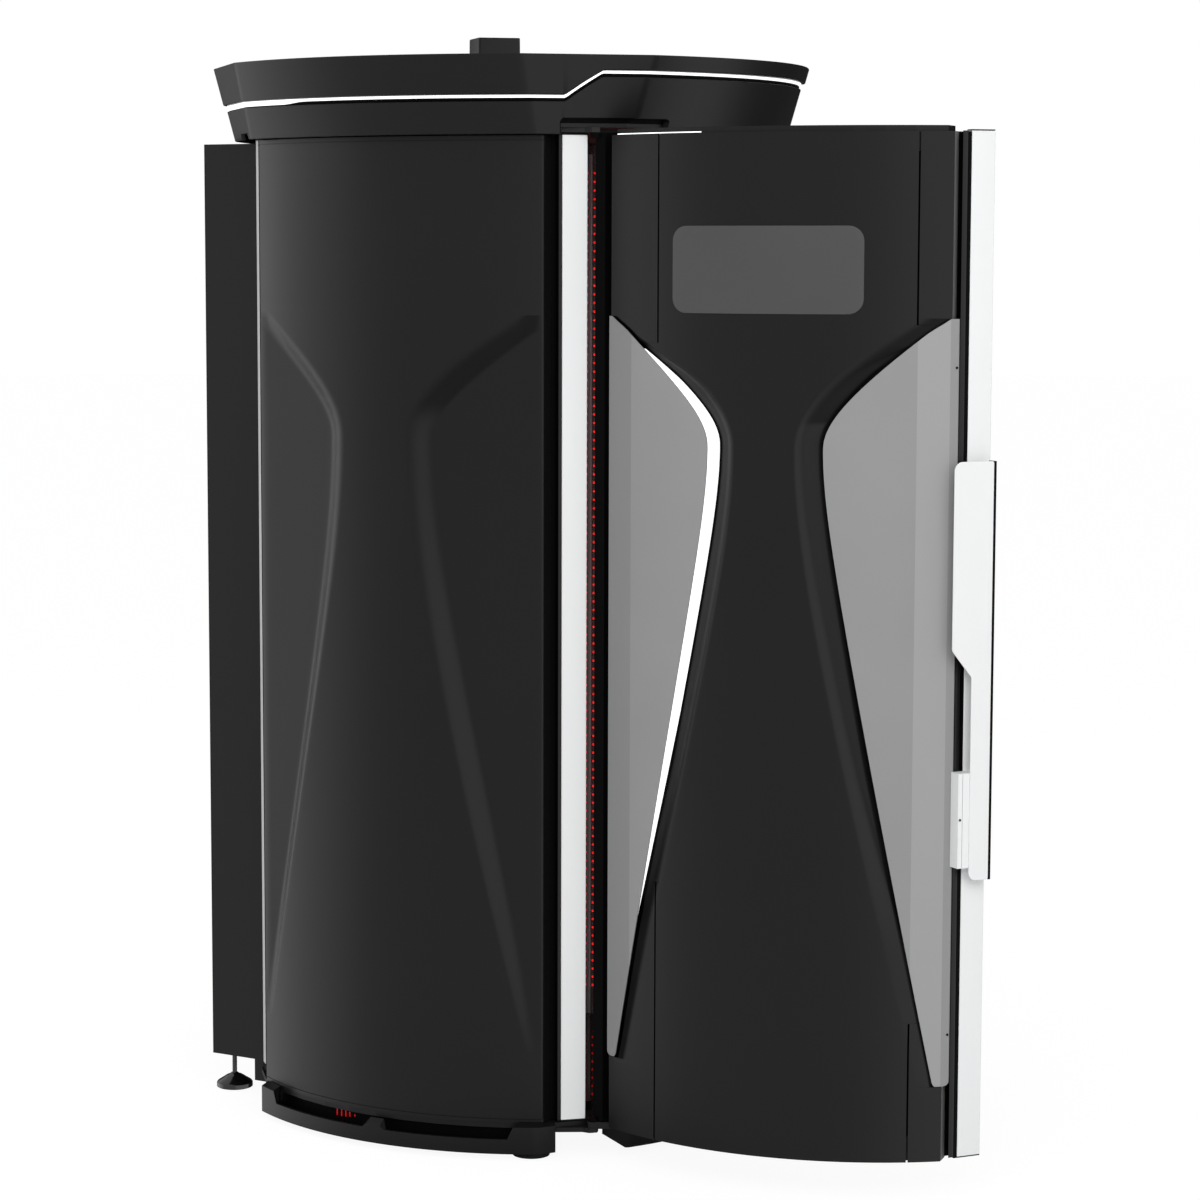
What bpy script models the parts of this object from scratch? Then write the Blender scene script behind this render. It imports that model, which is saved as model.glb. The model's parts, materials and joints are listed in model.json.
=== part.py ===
"""Red light therapy booth: a walk-in cabin with lamp walls, a hinged door and a two-tier canopy.

The booth is laid out about the cabin's upright axis. Each of its four sides is an arc over a straight
chord, and the corners between the sides are flat facets at 45 degrees. Front is -Y, where the door hangs;
the door's pivot is on the front left corner. Heights are taken from the floor. At the end the whole booth
is moved so that the origin lies on the floor under the middle of its bounding box, with the door open.

Three kinds of local coordinates are used. On a side, a point is (u, n, z): u runs along the side, n runs
out from the axis. On a corner, a point is (s, t): s runs along the facet from the end of the side's skin,
t runs inwards from the facet.
"""

import math

import bmesh
import bpy
import numpy as np

# Plan of the booth
SIDE = 0.466
CHORD = 0.710
SAGITTA = 0.099
GAP = 0.0003
SLIDE_GAP = 0.0008

# Heights of the standing parts
PLATFORM_BOTTOM = 0.063
PLATFORM_THICK = 0.0102
TREAD_TOP = 0.092
SKIN_TOP = 2.1335
TRIM_BOTTOM = 0.079
TRIM_RISE = 0.0012
ROOF_LIFT = 0.0165
ROOF_THICK = 0.008

# Skins of the wings and of the door
SKIN_WALL = 0.005
LIP_DEPTH = 0.036
WAIST_HEIGHT = 1.512
COVER_WAIST = 0.075
COVER_SLOPES = (2.4, 0.238)
COVER_ROUND_ABOVE = 0.28
COVER_ROUND_BELOW = 0.263
WINDOW_WAIST = 0.120
WINDOW_SLOPES = (1.37, 0.211)
WINDOW_ROUND_ABOVE = 0.126
WINDOW_ROUND_BELOW = 0.24
WINDOW_LIFT = 0.154
WINDOW_ABOVE = 0.263
WINDOW_WALL = 0.004
BACKING_OUT = 0.0335
BACKING_WALL = 0.003
BACKING_HALF = 0.2675
GROOVE_FLOOR = 0.004
GROOVE_LEAST = 0.003
FIELD_SHIFT = 0.010
FIELD_SLOPE = 0.30
LIGHT_WALL = 0.003
EDGE_STEP = 0.0012
SEAM_HINGE = 0.235
SEAM_FREE = 0.294
SEAM_WIDTH = 0.003

# Corner uprights and their white trim, along and into the facet
TRIM_START = 0.039
TRIM_WIDTH = 0.054
TRIM_DEPTH = 0.0182
TRIM_WALL = 0.003
UPRIGHT_DEPTH = 0.050
UPRIGHT_STRIP = 0.0075
CHANNEL_DEPTH = 0.022
STRIKE_WIDTH = 0.0285
REAR_FACE_DEPTH = 0.012

# Lamp trays and their clear guards
TRAY_INSET = 0.0145
TRAY_FRONT = 0.392
TRAY_DEPTH = 0.0197
TRAY_BACK_WALL = 0.003
TRAY_RIM = 0.008
GUARD_WALL = 0.004

# Base
TREAD_HALF = 0.385
TREAD_CORNER = 0.70
PLATFORM_REAR = 0.450
SKIRT_BOTTOM = 0.0135
SKIRT_FACE_TOP = 0.071
SKIRT_SLOPE_TOP = 0.0765
SKIRT_LIP_TOP = 0.045
SKIRT_LIP_WALL = 0.008
SKIRT_FLOOR_TOP = 0.030
SKIRT_PROUD = 0.030
SKIRT_SHADOW = 0.003
SKIRT_BACK = 0.030
SKIRT_RIB = 0.016
SKIRT_RIB_HALF = 0.300
SKIRT_FRONT_END = 0.362
SKIRT_REAR_END = 0.340
SKIRT_CHAMFER = (0.020, 0.0195)
SKIRT_SLANT = ((0.67, 0.003), (0.775, 0.0105))
SKIRT_VENTS = ((-0.280, -0.0165), (0.039, 0.302))
SKIRT_VENT_END = 0.011
SILL_HALF = 0.3515
SILL_CHAMFER = (0.004, 0.004)
SILL_BOTTOM = 0.015
SILL_TOP = 0.055
FOOT_RADIUS = 0.0395
FOOT_ALONG = 0.3213
FOOT_OUT = 0.457
REAR_FOOT_X = 0.316
REAR_FOOT_Y = 0.549
REAR_FOOT_RADIUS = 0.041
REAR_STEM_RADIUS = 0.0055

# Rear cabinet
CABINET_INSET = 0.086
CABINET_DEPTH = 0.147
CABINET_DROP = 0.0035
CABINET_RAISE = 0.0165
CABINET_WALL = 0.003
COVER_PLATE = 0.0032
LOUVRE_COUNT = 9
LOUVRE_PITCH = 0.026
LOUVRE_SIZE = (0.30, 0.009)
LOUVRE_Z = (0.42, 1.62)
SUPPLY_SIZE = (0.30, 0.095, 0.12)

# Canopy
CANOPY_HALF = 0.496
CANOPY_SAGITTA = 0.094
CANOPY_FLARE = 0.32
CANOPY_LIFT = 0.002
CANOPY_HEIGHT = 0.1595
CANOPY_FRONT_RAISE = 0.015
CANOPY_SLOT_RAISE = 0.0325
CANOPY_WALL = 0.014
CANOPY_STEP = 0.006
BAND_RISE = 0.0655
BAND_STEP = 0.0495
BAND_HEIGHT = 0.0125
BAND_INSET = 0.003
BAND_WIDTH = 0.007
DECK_DROP = 0.012
DECK_THICK = 0.004
RAMP = (0.31, 0.63)
SLOT_START = (0.25, 0.255)
CEILING_THICK = 0.0095
CEILING_SLOTS = 7
ROOF_BOX = 0.100
ROOF_FLANGE = 0.190
ROOF_BOX_Y = 0.045
ROOF_BOX_HEIGHT = 0.0697
ROOF_FLANGE_THICK = 0.006

# Roof fan
FAN_HALF = 0.060
FAN_DEPTH = 0.038
FAN_BORE = 0.0575
FAN_HUB = 0.019
FAN_TIP = 0.0545
FAN_BLADES = 7
FAN_TWIST = 0.45
SPIDER_WIDTH = 0.008
SPIDER_THICK = 0.004

# Door and hinge
DOOR_OPEN = 80.4
PIVOT_S = 0.106
PIVOT_T = -0.0126
PIN_RADIUS = 0.005
PIN_PLAY = 0.00045
LUG_RADIUS = 0.0115
LUG_HEIGHT = 0.010
HINGE_PLATE = 0.0097
HINGE_PLATE_START = 0.028
HINGE_PLATE_DEPTH = 0.045
DOOR_LIFT = 0.003
DOOR_UPRIGHT_DROP = 0.011
DOOR_LEDGE_DROP = 0.005
RAIL_HEIGHT = 0.050
RAIL_INSET = 0.0124
DOOR_TRAY_LIFT = 0.013
DOOR_TRAY_DROP = 0.0055
HINGE_UPRIGHT_END = 0.056

# Handle and plate on the door
HANDLE_OFFSET = 0.030
HANDLE_WALL = 0.003
HANDLE_WIDE = (-0.0085, 0.081)
HANDLE_NARROW = 0.0365
HANDLE_BOTTOM = 0.651
HANDLE_TOP = 1.4885
HANDLE_NECK = (1.060, 1.115)
HANDLE_ROUND = 0.014
HANDLE_EDGE = 0.0052
HANDLE_EDGE_DEPTH = 0.021
BRACKET_LOWER = (0.677, 0.868)
BRACKET_UPPER = (1.250, 1.420)
BRACKET_SPAN = (0.0115, 0.062)
BRACKET_SLIT = (0.0209, 0.0012, 0.018)
BADGE_SPAN = (-0.200, 0.195)
BADGE_Z = (1.777, 1.950)
BADGE_ROUND = 0.030
BADGE_WALL = 0.0016

# Stop button in the cabin
BEZEL_SIZE = (0.019, 0.0097, 0.060)
BEZEL_Z = 1.230
BUTTON_RADIUS = 0.007
BUTTON_PLAY = 0.0006
BUTTON_LENGTH = 0.009
BUTTON_LIFT = 0.0032

# Worked out from the sizes above
HALF_CHORD = CHORD / 2
ARC_RADIUS = (HALF_CHORD**2 + SAGITTA**2) / (2 * SAGITTA)
ARC_CENTRE = SIDE + SAGITTA - ARC_RADIUS
ROOT_HALF = math.sqrt(0.5)
FACET = (SIDE - HALF_CHORD) / ROOT_HALF
PLATFORM_TOP = PLATFORM_BOTTOM + PLATFORM_THICK
STAND = PLATFORM_TOP + GAP
TRIM_TOP = SKIN_TOP + TRIM_RISE
ROOF_BOTTOM = SKIN_TOP + ROOF_LIFT
WINDOW_BOTTOM = STAND + WINDOW_LIFT
WINDOW_TOP = WAIST_HEIGHT + WINDOW_ABOVE
BACKING_FACE = SIDE + BACKING_OUT
DOOR_BOTTOM = STAND + DOOR_LIFT
DOOR_UPRIGHT_TOP = ROOF_BOTTOM - DOOR_UPRIGHT_DROP
DOOR_LEDGE_TOP = ROOF_BOTTOM - DOOR_LEDGE_DROP
DOOR_TRAY_BOTTOM = DOOR_BOTTOM + DOOR_TRAY_LIFT
DOOR_TRAY_TOP = SKIN_TOP - DOOR_TRAY_DROP
CANOPY_BOTTOM = SKIN_TOP + CANOPY_LIFT
CANOPY_TOP = CANOPY_BOTTOM + CANOPY_HEIGHT
CANOPY_FRONT_BOTTOM = CANOPY_BOTTOM + CANOPY_FRONT_RAISE
CANOPY_SLOT_TOP = CANOPY_BOTTOM + CANOPY_SLOT_RAISE
BAND_LOW = CANOPY_BOTTOM + BAND_RISE
BAND_HIGH = BAND_LOW + BAND_STEP
DECK_BOTTOM = CANOPY_TOP - DECK_DROP
LIP_N = SIDE - LIP_DEPTH
TRIM_END = TRIM_START + TRIM_WIDTH
RAIL_HALF = HALF_CHORD - RAIL_INSET
TRAY_HALF = HALF_CHORD - TRAY_INSET
TRAY_BACK = TRAY_FRONT + TRAY_DEPTH
CABINET_HALF = SIDE - CABINET_INSET
CABINET_REAR = TRAY_BACK + GAP + CABINET_DEPTH
CABINET_TOP = SKIN_TOP - CABINET_DROP
CABINET_BOTTOM = PLATFORM_TOP + CABINET_RAISE
GUARD_FRONT = TRAY_FRONT - GAP - GUARD_WALL
ROOF_TOP = ROOF_BOTTOM + ROOF_THICK
FACET_STOPS = sorted([*np.linspace(*RAMP, 6), *SLOT_START])
TURN = {"front": 0.0, "right": 90.0, "rear": 180.0, "left": -90.0}


def clear_scene():
    for obj in list(bpy.data.objects):
        bpy.data.objects.remove(obj, do_unlink=True)


def finish(name, colour, roughness, metallic=0.0, alpha=1.0, glow=0.0):
    """One surface finish: a Principled shader with plain values."""
    made = bpy.data.materials.new(name)
    made.use_nodes = True
    shader = made.node_tree.nodes["Principled BSDF"]
    shader.inputs["Base Color"].default_value = (*colour, 1.0)
    shader.inputs["Roughness"].default_value = roughness
    shader.inputs["Metallic"].default_value = metallic
    shader.inputs["Alpha"].default_value = alpha
    shader.inputs["Emission Color"].default_value = (*colour, 1.0)
    shader.inputs["Emission Strength"].default_value = glow
    return made


def empty(name, location=(0.0, 0.0, 0.0), parent=None):
    made = bpy.data.objects.new(name, None)
    made.location = location
    made.parent = parent
    bpy.context.scene.collection.objects.link(made)
    return made


class Seat:
    """Where a piece is built: one side of the booth, and the empty that carries the piece."""

    def __init__(self, carrier, side="front", origin=(0.0, 0.0, 0.0)):
        self.carrier = carrier
        self.turn = math.radians(TURN[side])
        self.origin = np.array(origin)

    def place(self, points):
        """Points (u, n, z) of this side as points of the carrier."""
        points = np.asarray(points, float)
        x = points[..., 0]
        y = -points[..., 1]
        cos, sin = math.cos(self.turn), math.sin(self.turn)
        turned = np.stack([cos * x - sin * y, sin * x + cos * y, points[..., 2]], -1)
        return turned - self.origin


def add(seat, name, points, faces, mat):
    """One closed solid from points (u, n, z) and faces, with its faces turned outwards."""
    mesh = bpy.data.meshes.new(name)
    mesh.from_pydata(seat.place(points).tolist(), [], faces)
    shape = bmesh.new()
    shape.from_mesh(mesh)
    bmesh.ops.recalc_face_normals(shape, faces=shape.faces)
    shape.to_mesh(mesh)
    shape.free()
    mesh.shade_smooth()
    mesh.set_sharp_from_angle(angle=math.radians(30))
    mesh.materials.append(mat)
    made = bpy.data.objects.new(name, mesh)
    made.parent = seat.carrier
    bpy.context.scene.collection.objects.link(made)
    return made


def loft(seat, name, loops, mat, ring=False):
    """A solid through closed loops of equal counts: capped at both ends, or joined end to end as a ring."""
    loops = np.asarray(loops, float)
    count, around = loops.shape[:2]
    faces = []
    for row in range(count if ring else count - 1):
        after = (row + 1) % count
        for k in range(around):
            m = (k + 1) % around
            faces.append((row * around + k, row * around + m, after * around + m, after * around + k))
    if not ring:
        faces.append(tuple(range(around)))
        faces.append(tuple(range((count - 1) * around, count * around)))
    return add(seat, name, loops.reshape(-1, 3), faces, mat)


def at_height(outline, z):
    outline = np.asarray(outline, float)
    return np.column_stack([outline, np.full(len(outline), z)])


def prism(seat, name, outline, z0, z1, mat):
    return loft(seat, name, [at_height(outline, z0), at_height(outline, z1)], mat)


def box(seat, name, u, n, z, mat):
    outline = [(u[0], n[0]), (u[1], n[0]), (u[1], n[1]), (u[0], n[1])]
    return prism(seat, name, outline, z[0], z[1], mat)


def disc(centre, radius, count=24):
    angle = np.arange(count) * 2 * math.pi / count
    return np.column_stack([centre[0] + radius * np.cos(angle), centre[1] + radius * np.sin(angle)])


def combine(obj, helper, operation):
    """Joins a helper solid to a piece or cuts it away."""
    helper.hide_render = True
    helper.display_type = "WIRE"
    step = obj.modifiers.new(helper.name, "BOOLEAN")
    step.operation = operation
    step.solver = "EXACT"
    step.object = helper


def corner(s, t, end):
    """The plan point (u, n) that lies s along and t behind the facet at this end of a side."""
    return end * (HALF_CHORD + (s - t) * ROOT_HALF), SIDE - (s + t) * ROOT_HALF


def corner_outline(points, end):
    return [corner(s, t, end) for s, t in points]


def arc(u):
    """Distance from the axis to the curved face of a side."""
    return ARC_CENTRE + np.sqrt(ARC_RADIUS**2 - np.asarray(u, float) ** 2)


def flare(z, waist, slopes, above, below):
    """Half width of the hourglass at height z: a hyperbola with its own slope above and below the waist."""
    dz = z - WAIST_HEIGHT
    slope, soft = (slopes[0], above) if dz > 0 else (slopes[1], below)
    return waist + slope * (math.hypot(dz, soft) - soft)


def cover_edge(z):
    return flare(z, COVER_WAIST, COVER_SLOPES, COVER_ROUND_ABOVE, COVER_ROUND_BELOW)


def window_edge(z):
    return flare(z, WINDOW_WAIST, WINDOW_SLOPES, WINDOW_ROUND_ABOVE, WINDOW_ROUND_BELOW)


def hourglass(z, limit, floor):
    """Half widths at height z: edge of the middle panel, foot of its slope, and inner edge of the window."""
    shown = WINDOW_BOTTOM <= z <= WINDOW_TOP
    window = min(window_edge(z) if shown else limit, limit - EDGE_STEP)
    foot = window - floor
    middle = cover_edge(z) if shown else limit
    return min(middle, foot - EDGE_STEP), foot, window, shown


def skin_rows():
    """Heights of the rows that carry the hourglass, closest together where it turns."""
    below = np.linspace(WINDOW_BOTTOM, WAIST_HEIGHT - 0.10, 13)
    turn = np.linspace(WAIST_HEIGHT - 0.05, WAIST_HEIGHT + 0.10, 5)
    above = np.linspace(WAIST_HEIGHT + 0.126, WINDOW_TOP, 7)
    ends = [STAND, WINDOW_BOTTOM - 0.006, WINDOW_TOP + 0.006, SKIN_TOP]
    return sorted([*ends, *below, *turn, *above])


def wing_face(u, middle, foot):
    """The wing's outer face: the arc, which eases down a slope to a flat field beside the hourglass."""
    field = SIDE + (HALF_CHORD - u) * FIELD_SLOPE
    share = np.clip((u - middle) / (foot - middle), 0.0, 1.0)
    ease = share * share * (3 - 2 * share)
    return arc(u) * (1 - ease) + field * ease


def wing_section(z):
    """Outline of a wing's skin at height z: a pressed sheet with a lip along both edges."""
    window, shown = hourglass(z, HALF_CHORD, GROOVE_FLOOR)[2:]
    foot = min(window + FIELD_SHIFT, HALF_CHORD - EDGE_STEP)
    middle = min(cover_edge(z), foot - EDGE_STEP)
    panel = np.linspace(0, middle, 6)
    slope = np.linspace(middle, foot, 5)[1:]
    half = np.array([*panel, *slope, *np.linspace(foot, HALF_CHORD, 3)[1:]])
    out = wing_face(half, middle, foot) if shown else arc(half)
    reach = HALF_CHORD - SKIN_WALL
    inner_half = half * reach / HALF_CHORD
    outer = np.column_stack([[*-half[:0:-1], *half], [*out[:0:-1], *out]])
    inner = np.column_stack([[*-inner_half[:0:-1], *inner_half], outer[:, 1] - SKIN_WALL])
    lips = [(HALF_CHORD, LIP_N), (reach, LIP_N)], [(-reach, LIP_N), (-HALF_CHORD, LIP_N)]
    return at_height([*outer, *lips[0], *inner[::-1], *lips[1]], z)


def upright_outline(first, nose):
    """Plan of a corner upright: it seats on the skin's lip, then follows the given nose points."""
    seat_gap = GAP * 2
    lip_end = LIP_DEPTH * ROOT_HALF
    start = (CHANNEL_DEPTH + seat_gap, CHANNEL_DEPTH)
    back = [(first - SLIDE_GAP, UPRIGHT_DEPTH), (lip_end + seat_gap, lip_end)]
    return [start, *nose, *back]


STRIP_START = TRIM_START - UPRIGHT_STRIP


def post_nose():
    """Nose of an upright that carries the white trim: a flush strip, then a step for the trim."""
    step = TRIM_START - GAP
    seat = TRIM_DEPTH + GAP
    end = TRIM_END + GAP
    return [
        (STRIP_START, CHANNEL_DEPTH),
        (STRIP_START, 0.0),
        (step, 0.0),
        (step, seat),
        (end, seat),
        (end, UPRIGHT_DEPTH),
    ]


def strike_nose():
    end = STRIP_START + STRIKE_WIDTH
    return [(STRIP_START, CHANNEL_DEPTH), (STRIP_START, 0.0), (end, 0.0), (end, UPRIGHT_DEPTH)]


def rear_nose():
    """Nose of a rear upright: a flat face set back from the facet, ending along the cabinet's side."""
    reach = (SIDE - CABINET_HALF - GAP) / ROOT_HALF
    return [
        (STRIP_START, REAR_FACE_DEPTH),
        (reach - REAR_FACE_DEPTH, REAR_FACE_DEPTH),
        (reach - UPRIGHT_DEPTH, UPRIGHT_DEPTH),
    ]


def trim_outline():
    """Plan of the white trim: a channel open to the back."""
    inner = TRIM_START + TRIM_WALL
    outer = TRIM_END - TRIM_WALL
    return [
        (TRIM_START, TRIM_DEPTH),
        (TRIM_START, 0.0),
        (TRIM_END, 0.0),
        (TRIM_END, TRIM_DEPTH),
        (outer, TRIM_DEPTH),
        (outer, TRIM_WALL),
        (inner, TRIM_WALL),
        (inner, TRIM_DEPTH),
    ]


def rectangle(u, z, n):
    return [(u[0], n, z[0]), (u[1], n, z[0]), (u[1], n, z[1]), (u[0], n, z[1])]


def lamp_tray(seat, name, z0, z1, mats):
    """A shallow tray that opens to the cabin, and the clear guard that closes it."""
    half = (-TRAY_HALF, TRAY_HALF)
    inner = (-TRAY_HALF + TRAY_RIM, TRAY_HALF - TRAY_RIM)
    tall = (z0, z1)
    short = (z0 + TRAY_RIM, z1 - TRAY_RIM)
    floor = TRAY_BACK - TRAY_BACK_WALL
    loops = [
        rectangle(half, tall, TRAY_BACK),
        rectangle(half, tall, TRAY_FRONT),
        rectangle(inner, short, TRAY_FRONT),
        rectangle(inner, short, floor),
    ]
    loft(seat, name + "_lamp_tray", loops, mats["dark_metal"])
    box(seat, name + "_guard", half, (GUARD_FRONT, TRAY_FRONT - GAP), tall, mats["clear"])


def build_base(booth, mats):
    here = Seat(booth)
    u_front = np.linspace(-HALF_CHORD + 0.010, HALF_CHORD - 0.010, 11)
    u_side = np.linspace(-HALF_CHORD, HALF_CHORD, 11)
    front = np.column_stack([u_front, arc(u_front) - 0.012])
    flank = np.column_stack([u_side, arc(u_side) - 0.001])
    rear = np.array([(-HALF_CHORD, PLATFORM_REAR), (HALF_CHORD, PLATFORM_REAR)])
    around = [
        Seat(booth, side).place(at_height(line, 0.0))[:, :2] * (1, -1)
        for side, line in (("front", front), ("right", flank), ("rear", rear), ("left", flank))
    ]
    prism(here, "platform", np.vstack(around), PLATFORM_BOTTOM, PLATFORM_TOP, mats["dark_metal"])
    prism(here, "tread_plate", octagon(), STAND, TREAD_TOP, mats["gloss_black"])
    skirt(Seat(booth, "left"), "left_skirt", 1, mats["black"])
    skirt(Seat(booth, "right"), "right_skirt", -1, mats["black"])
    sill(Seat(booth), mats["black"])
    for side, end in (("left", 1), ("right", -1)):
        where = Seat(booth, side)
        outline = disc((end * FOOT_ALONG, FOOT_OUT), FOOT_RADIUS)
        prism(where, f"foot_front_{side}", outline, 0.0, SKIRT_BOTTOM - GAP, mats["rubber"])
    for side, sign in (("left", -1), ("right", 1)):
        rear_foot(here, f"foot_rear_{side}", (sign * REAR_FOOT_X, -REAR_FOOT_Y), mats["steel"])


def octagon():
    a, b = TREAD_HALF, TREAD_CORNER - TREAD_HALF
    return [(b, -a), (a, -b), (a, b), (b, a), (-b, a), (-a, b), (-a, -b), (-b, -a)]


SKIRT_BLOCK = (SKIRT_FACE_TOP, SKIRT_SHADOW, SKIRT_SLOPE_TOP)
SKIRT_POST = (0.052, 0.0115, 0.064)
SKIRT_VENT = (SKIRT_LIP_TOP, SKIRT_PROUD - SKIRT_LIP_WALL, SKIRT_LIP_TOP)


def skirt_loop(u, kind, rib, chamfer, slant=(0.0, 0.0)):
    """Section of a base skirt at u: an outer wall, its top, a floor, and a rib up to the platform.

    Behind the slant's start depth the section leans back along the skirt.
    """
    out = SKIRT_PROUD - chamfer
    face_top, back, back_top = kind
    rib_top = PLATFORM_BOTTOM - GAP if rib else SKIRT_FLOOR_TOP + EDGE_STEP
    section = [
        (out, SKIRT_BOTTOM),
        (out, face_top),
        (min(back, out - EDGE_STEP), back_top),
        (min(back, out - EDGE_STEP), SKIRT_FLOOR_TOP),
        (SKIRT_RIB - SKIRT_BACK, SKIRT_FLOOR_TOP),
        (SKIRT_RIB - SKIRT_BACK, rib_top),
        (-SKIRT_BACK, rib_top),
        (-SKIRT_BACK, SKIRT_BOTTOM),
    ]
    lean, start = slant
    return [(u - lean * max(0.0, start - proud), float(arc(u)) + proud, z) for proud, z in section]


def skirt(seat, name, front, mat):
    """A curved bar round the foot of a wing: two vents lie between its end blocks and a sloping post."""
    edge = GAP
    (rear_low, rear_high), (front_low, front_high) = SKIRT_VENTS
    stations = [(-SKIRT_REAR_END, SKIRT_BLOCK), (rear_low - SKIRT_VENT_END, SKIRT_BLOCK)]
    for low, high in SKIRT_VENTS:
        stations += [(u, SKIRT_VENT) for u in np.linspace(low, high, 7)]
    stations += [(rear_high + SKIRT_VENT_END, SKIRT_POST), (front_low - SKIRT_VENT_END, SKIRT_POST)]
    stations += [(front_high + SKIRT_VENT_END, SKIRT_BLOCK), (SKIRT_FRONT_END, SKIRT_BLOCK)]
    for end, kind in ((-SKIRT_RIB_HALF, SKIRT_BLOCK), (SKIRT_RIB_HALF, SKIRT_VENT)):
        stations += [(end - edge, kind), (end + edge, kind)]
    stations.sort()
    near, far = SKIRT_SLANT
    loops = [skirt_loop(u, kind, abs(u) < SKIRT_RIB_HALF, 0.0) for u, kind in stations[:-1]]
    loops.append(skirt_loop(SKIRT_FRONT_END, SKIRT_BLOCK, False, 0.0, near))
    along, back = SKIRT_CHAMFER
    loops.append(skirt_loop(SKIRT_FRONT_END + along, SKIRT_BLOCK, False, back, far))
    points = np.array(loops)
    points[..., 0] *= front
    loft(seat, name, points, mat)


def sill(seat, mat):
    """The low bar under the door: it stays below the door's sweep."""
    along, back = SILL_CHAMFER
    reach = SILL_HALF + along
    loops = []
    for u in [-reach, *np.linspace(-SILL_HALF, SILL_HALF, 11), reach]:
        out = SKIRT_PROUD - (back if abs(u) > SILL_HALF + GAP else 0.0)
        rise = PLATFORM_BOTTOM - GAP if abs(u) < SKIRT_RIB_HALF else SILL_TOP + GAP
        section = [
            (out, SILL_BOTTOM),
            (out, SILL_TOP),
            (SKIRT_RIB - SKIRT_BACK, SILL_TOP),
            (SKIRT_RIB - SKIRT_BACK, rise),
            (-SKIRT_BACK, rise),
            (-SKIRT_BACK, SILL_BOTTOM),
        ]
        loops.append([(u, float(arc(u)) + proud, z) for proud, z in section])
    loft(seat, "front_sill", loops, mat)


def rear_foot(seat, name, centre, mat):
    """A levelling foot: a turned pad with a screw stem up to the cabinet's floor."""
    profile = [
        (REAR_FOOT_RADIUS, 0.0),
        (REAR_FOOT_RADIUS, 0.012),
        (REAR_STEM_RADIUS * 3.0, 0.027),
        (REAR_STEM_RADIUS * 1.5, 0.032),
        (REAR_STEM_RADIUS, 0.032 + GAP),
        (REAR_STEM_RADIUS, CABINET_BOTTOM - GAP),
    ]
    loft(seat, name, [at_height(disc(centre, radius, 20), z) for radius, z in profile], mat)


def build_wing(booth, side, front, mats):
    """One side wing: its skin, the uprights at both ends, and the lamps inside."""
    here = Seat(booth, side)
    loft(here, side + "_shell", [wing_section(z) for z in skin_rows()], mats["black"])
    rear = corner_outline(upright_outline(STRIP_START, rear_nose()), -front)
    prism(here, side + "_rear_upright", rear, STAND, ROOF_BOTTOM - GAP, mats["dark_metal"])
    lamp_tray(here, side, STAND, ROOF_BOTTOM - GAP, mats)


def build_left_post(booth, mats):
    here = Seat(booth, "left")
    top = ROOF_BOTTOM - HINGE_PLATE - 2 * GAP
    post = corner_outline(upright_outline(STRIP_START, post_nose()), 1)
    prism(here, "left_front_upright", post, STAND, top, mats["dark_metal"])
    trim = corner_outline(trim_outline(), 1)
    prism(here, "left_front_trim", trim, TRIM_BOTTOM, TRIM_TOP, mats["white"])


def build_strike_post(booth, mats):
    """The right front upright, which the closed door meets, and the stop button on its inner face."""
    here = Seat(booth, "right")
    post = corner_outline(upright_outline(STRIP_START, strike_nose()), -1)
    prism(here, "right_front_upright", post, STAND, ROOF_BOTTOM - GAP, mats["dark_metal"])
    width, depth, height = BEZEL_SIZE
    middle = STRIP_START + STRIKE_WIDTH - width / 2
    face = UPRIGHT_DEPTH + GAP
    outline = [
        (middle - width / 2, face),
        (middle + width / 2, face),
        (middle + width / 2, face + depth),
        (middle - width / 2, face + depth),
    ]
    z = (BEZEL_Z - height / 2, BEZEL_Z + height / 2)
    bezel = prism(here, "button_bezel", corner_outline(outline, -1), *z, mats["black"])
    wide = BUTTON_RADIUS + BUTTON_PLAY
    hole = corner_rod(here, "button_hole", middle, face - depth, face + 2 * depth, wide)
    combine(bezel, hole, "DIFFERENCE")
    start = face + BUTTON_LIFT
    button = corner_rod(here, "stop_button", middle, start, start + BUTTON_LENGTH, BUTTON_RADIUS)
    button.data.materials.append(mats["red"])


def corner_rod(seat, name, s, t0, t1, radius):
    """A rod that points into the cabin from the right front facet, at the stop button's height."""
    loops = []
    for t in (t0, t1):
        ring = disc((0.0, 0.0), radius, 20)
        loops.append([(*corner(s + a, t, -1), BEZEL_Z + b) for a, b in ring])
    rod = loft(seat, name, loops, None)
    rod.data.materials.clear()
    return rod


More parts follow.
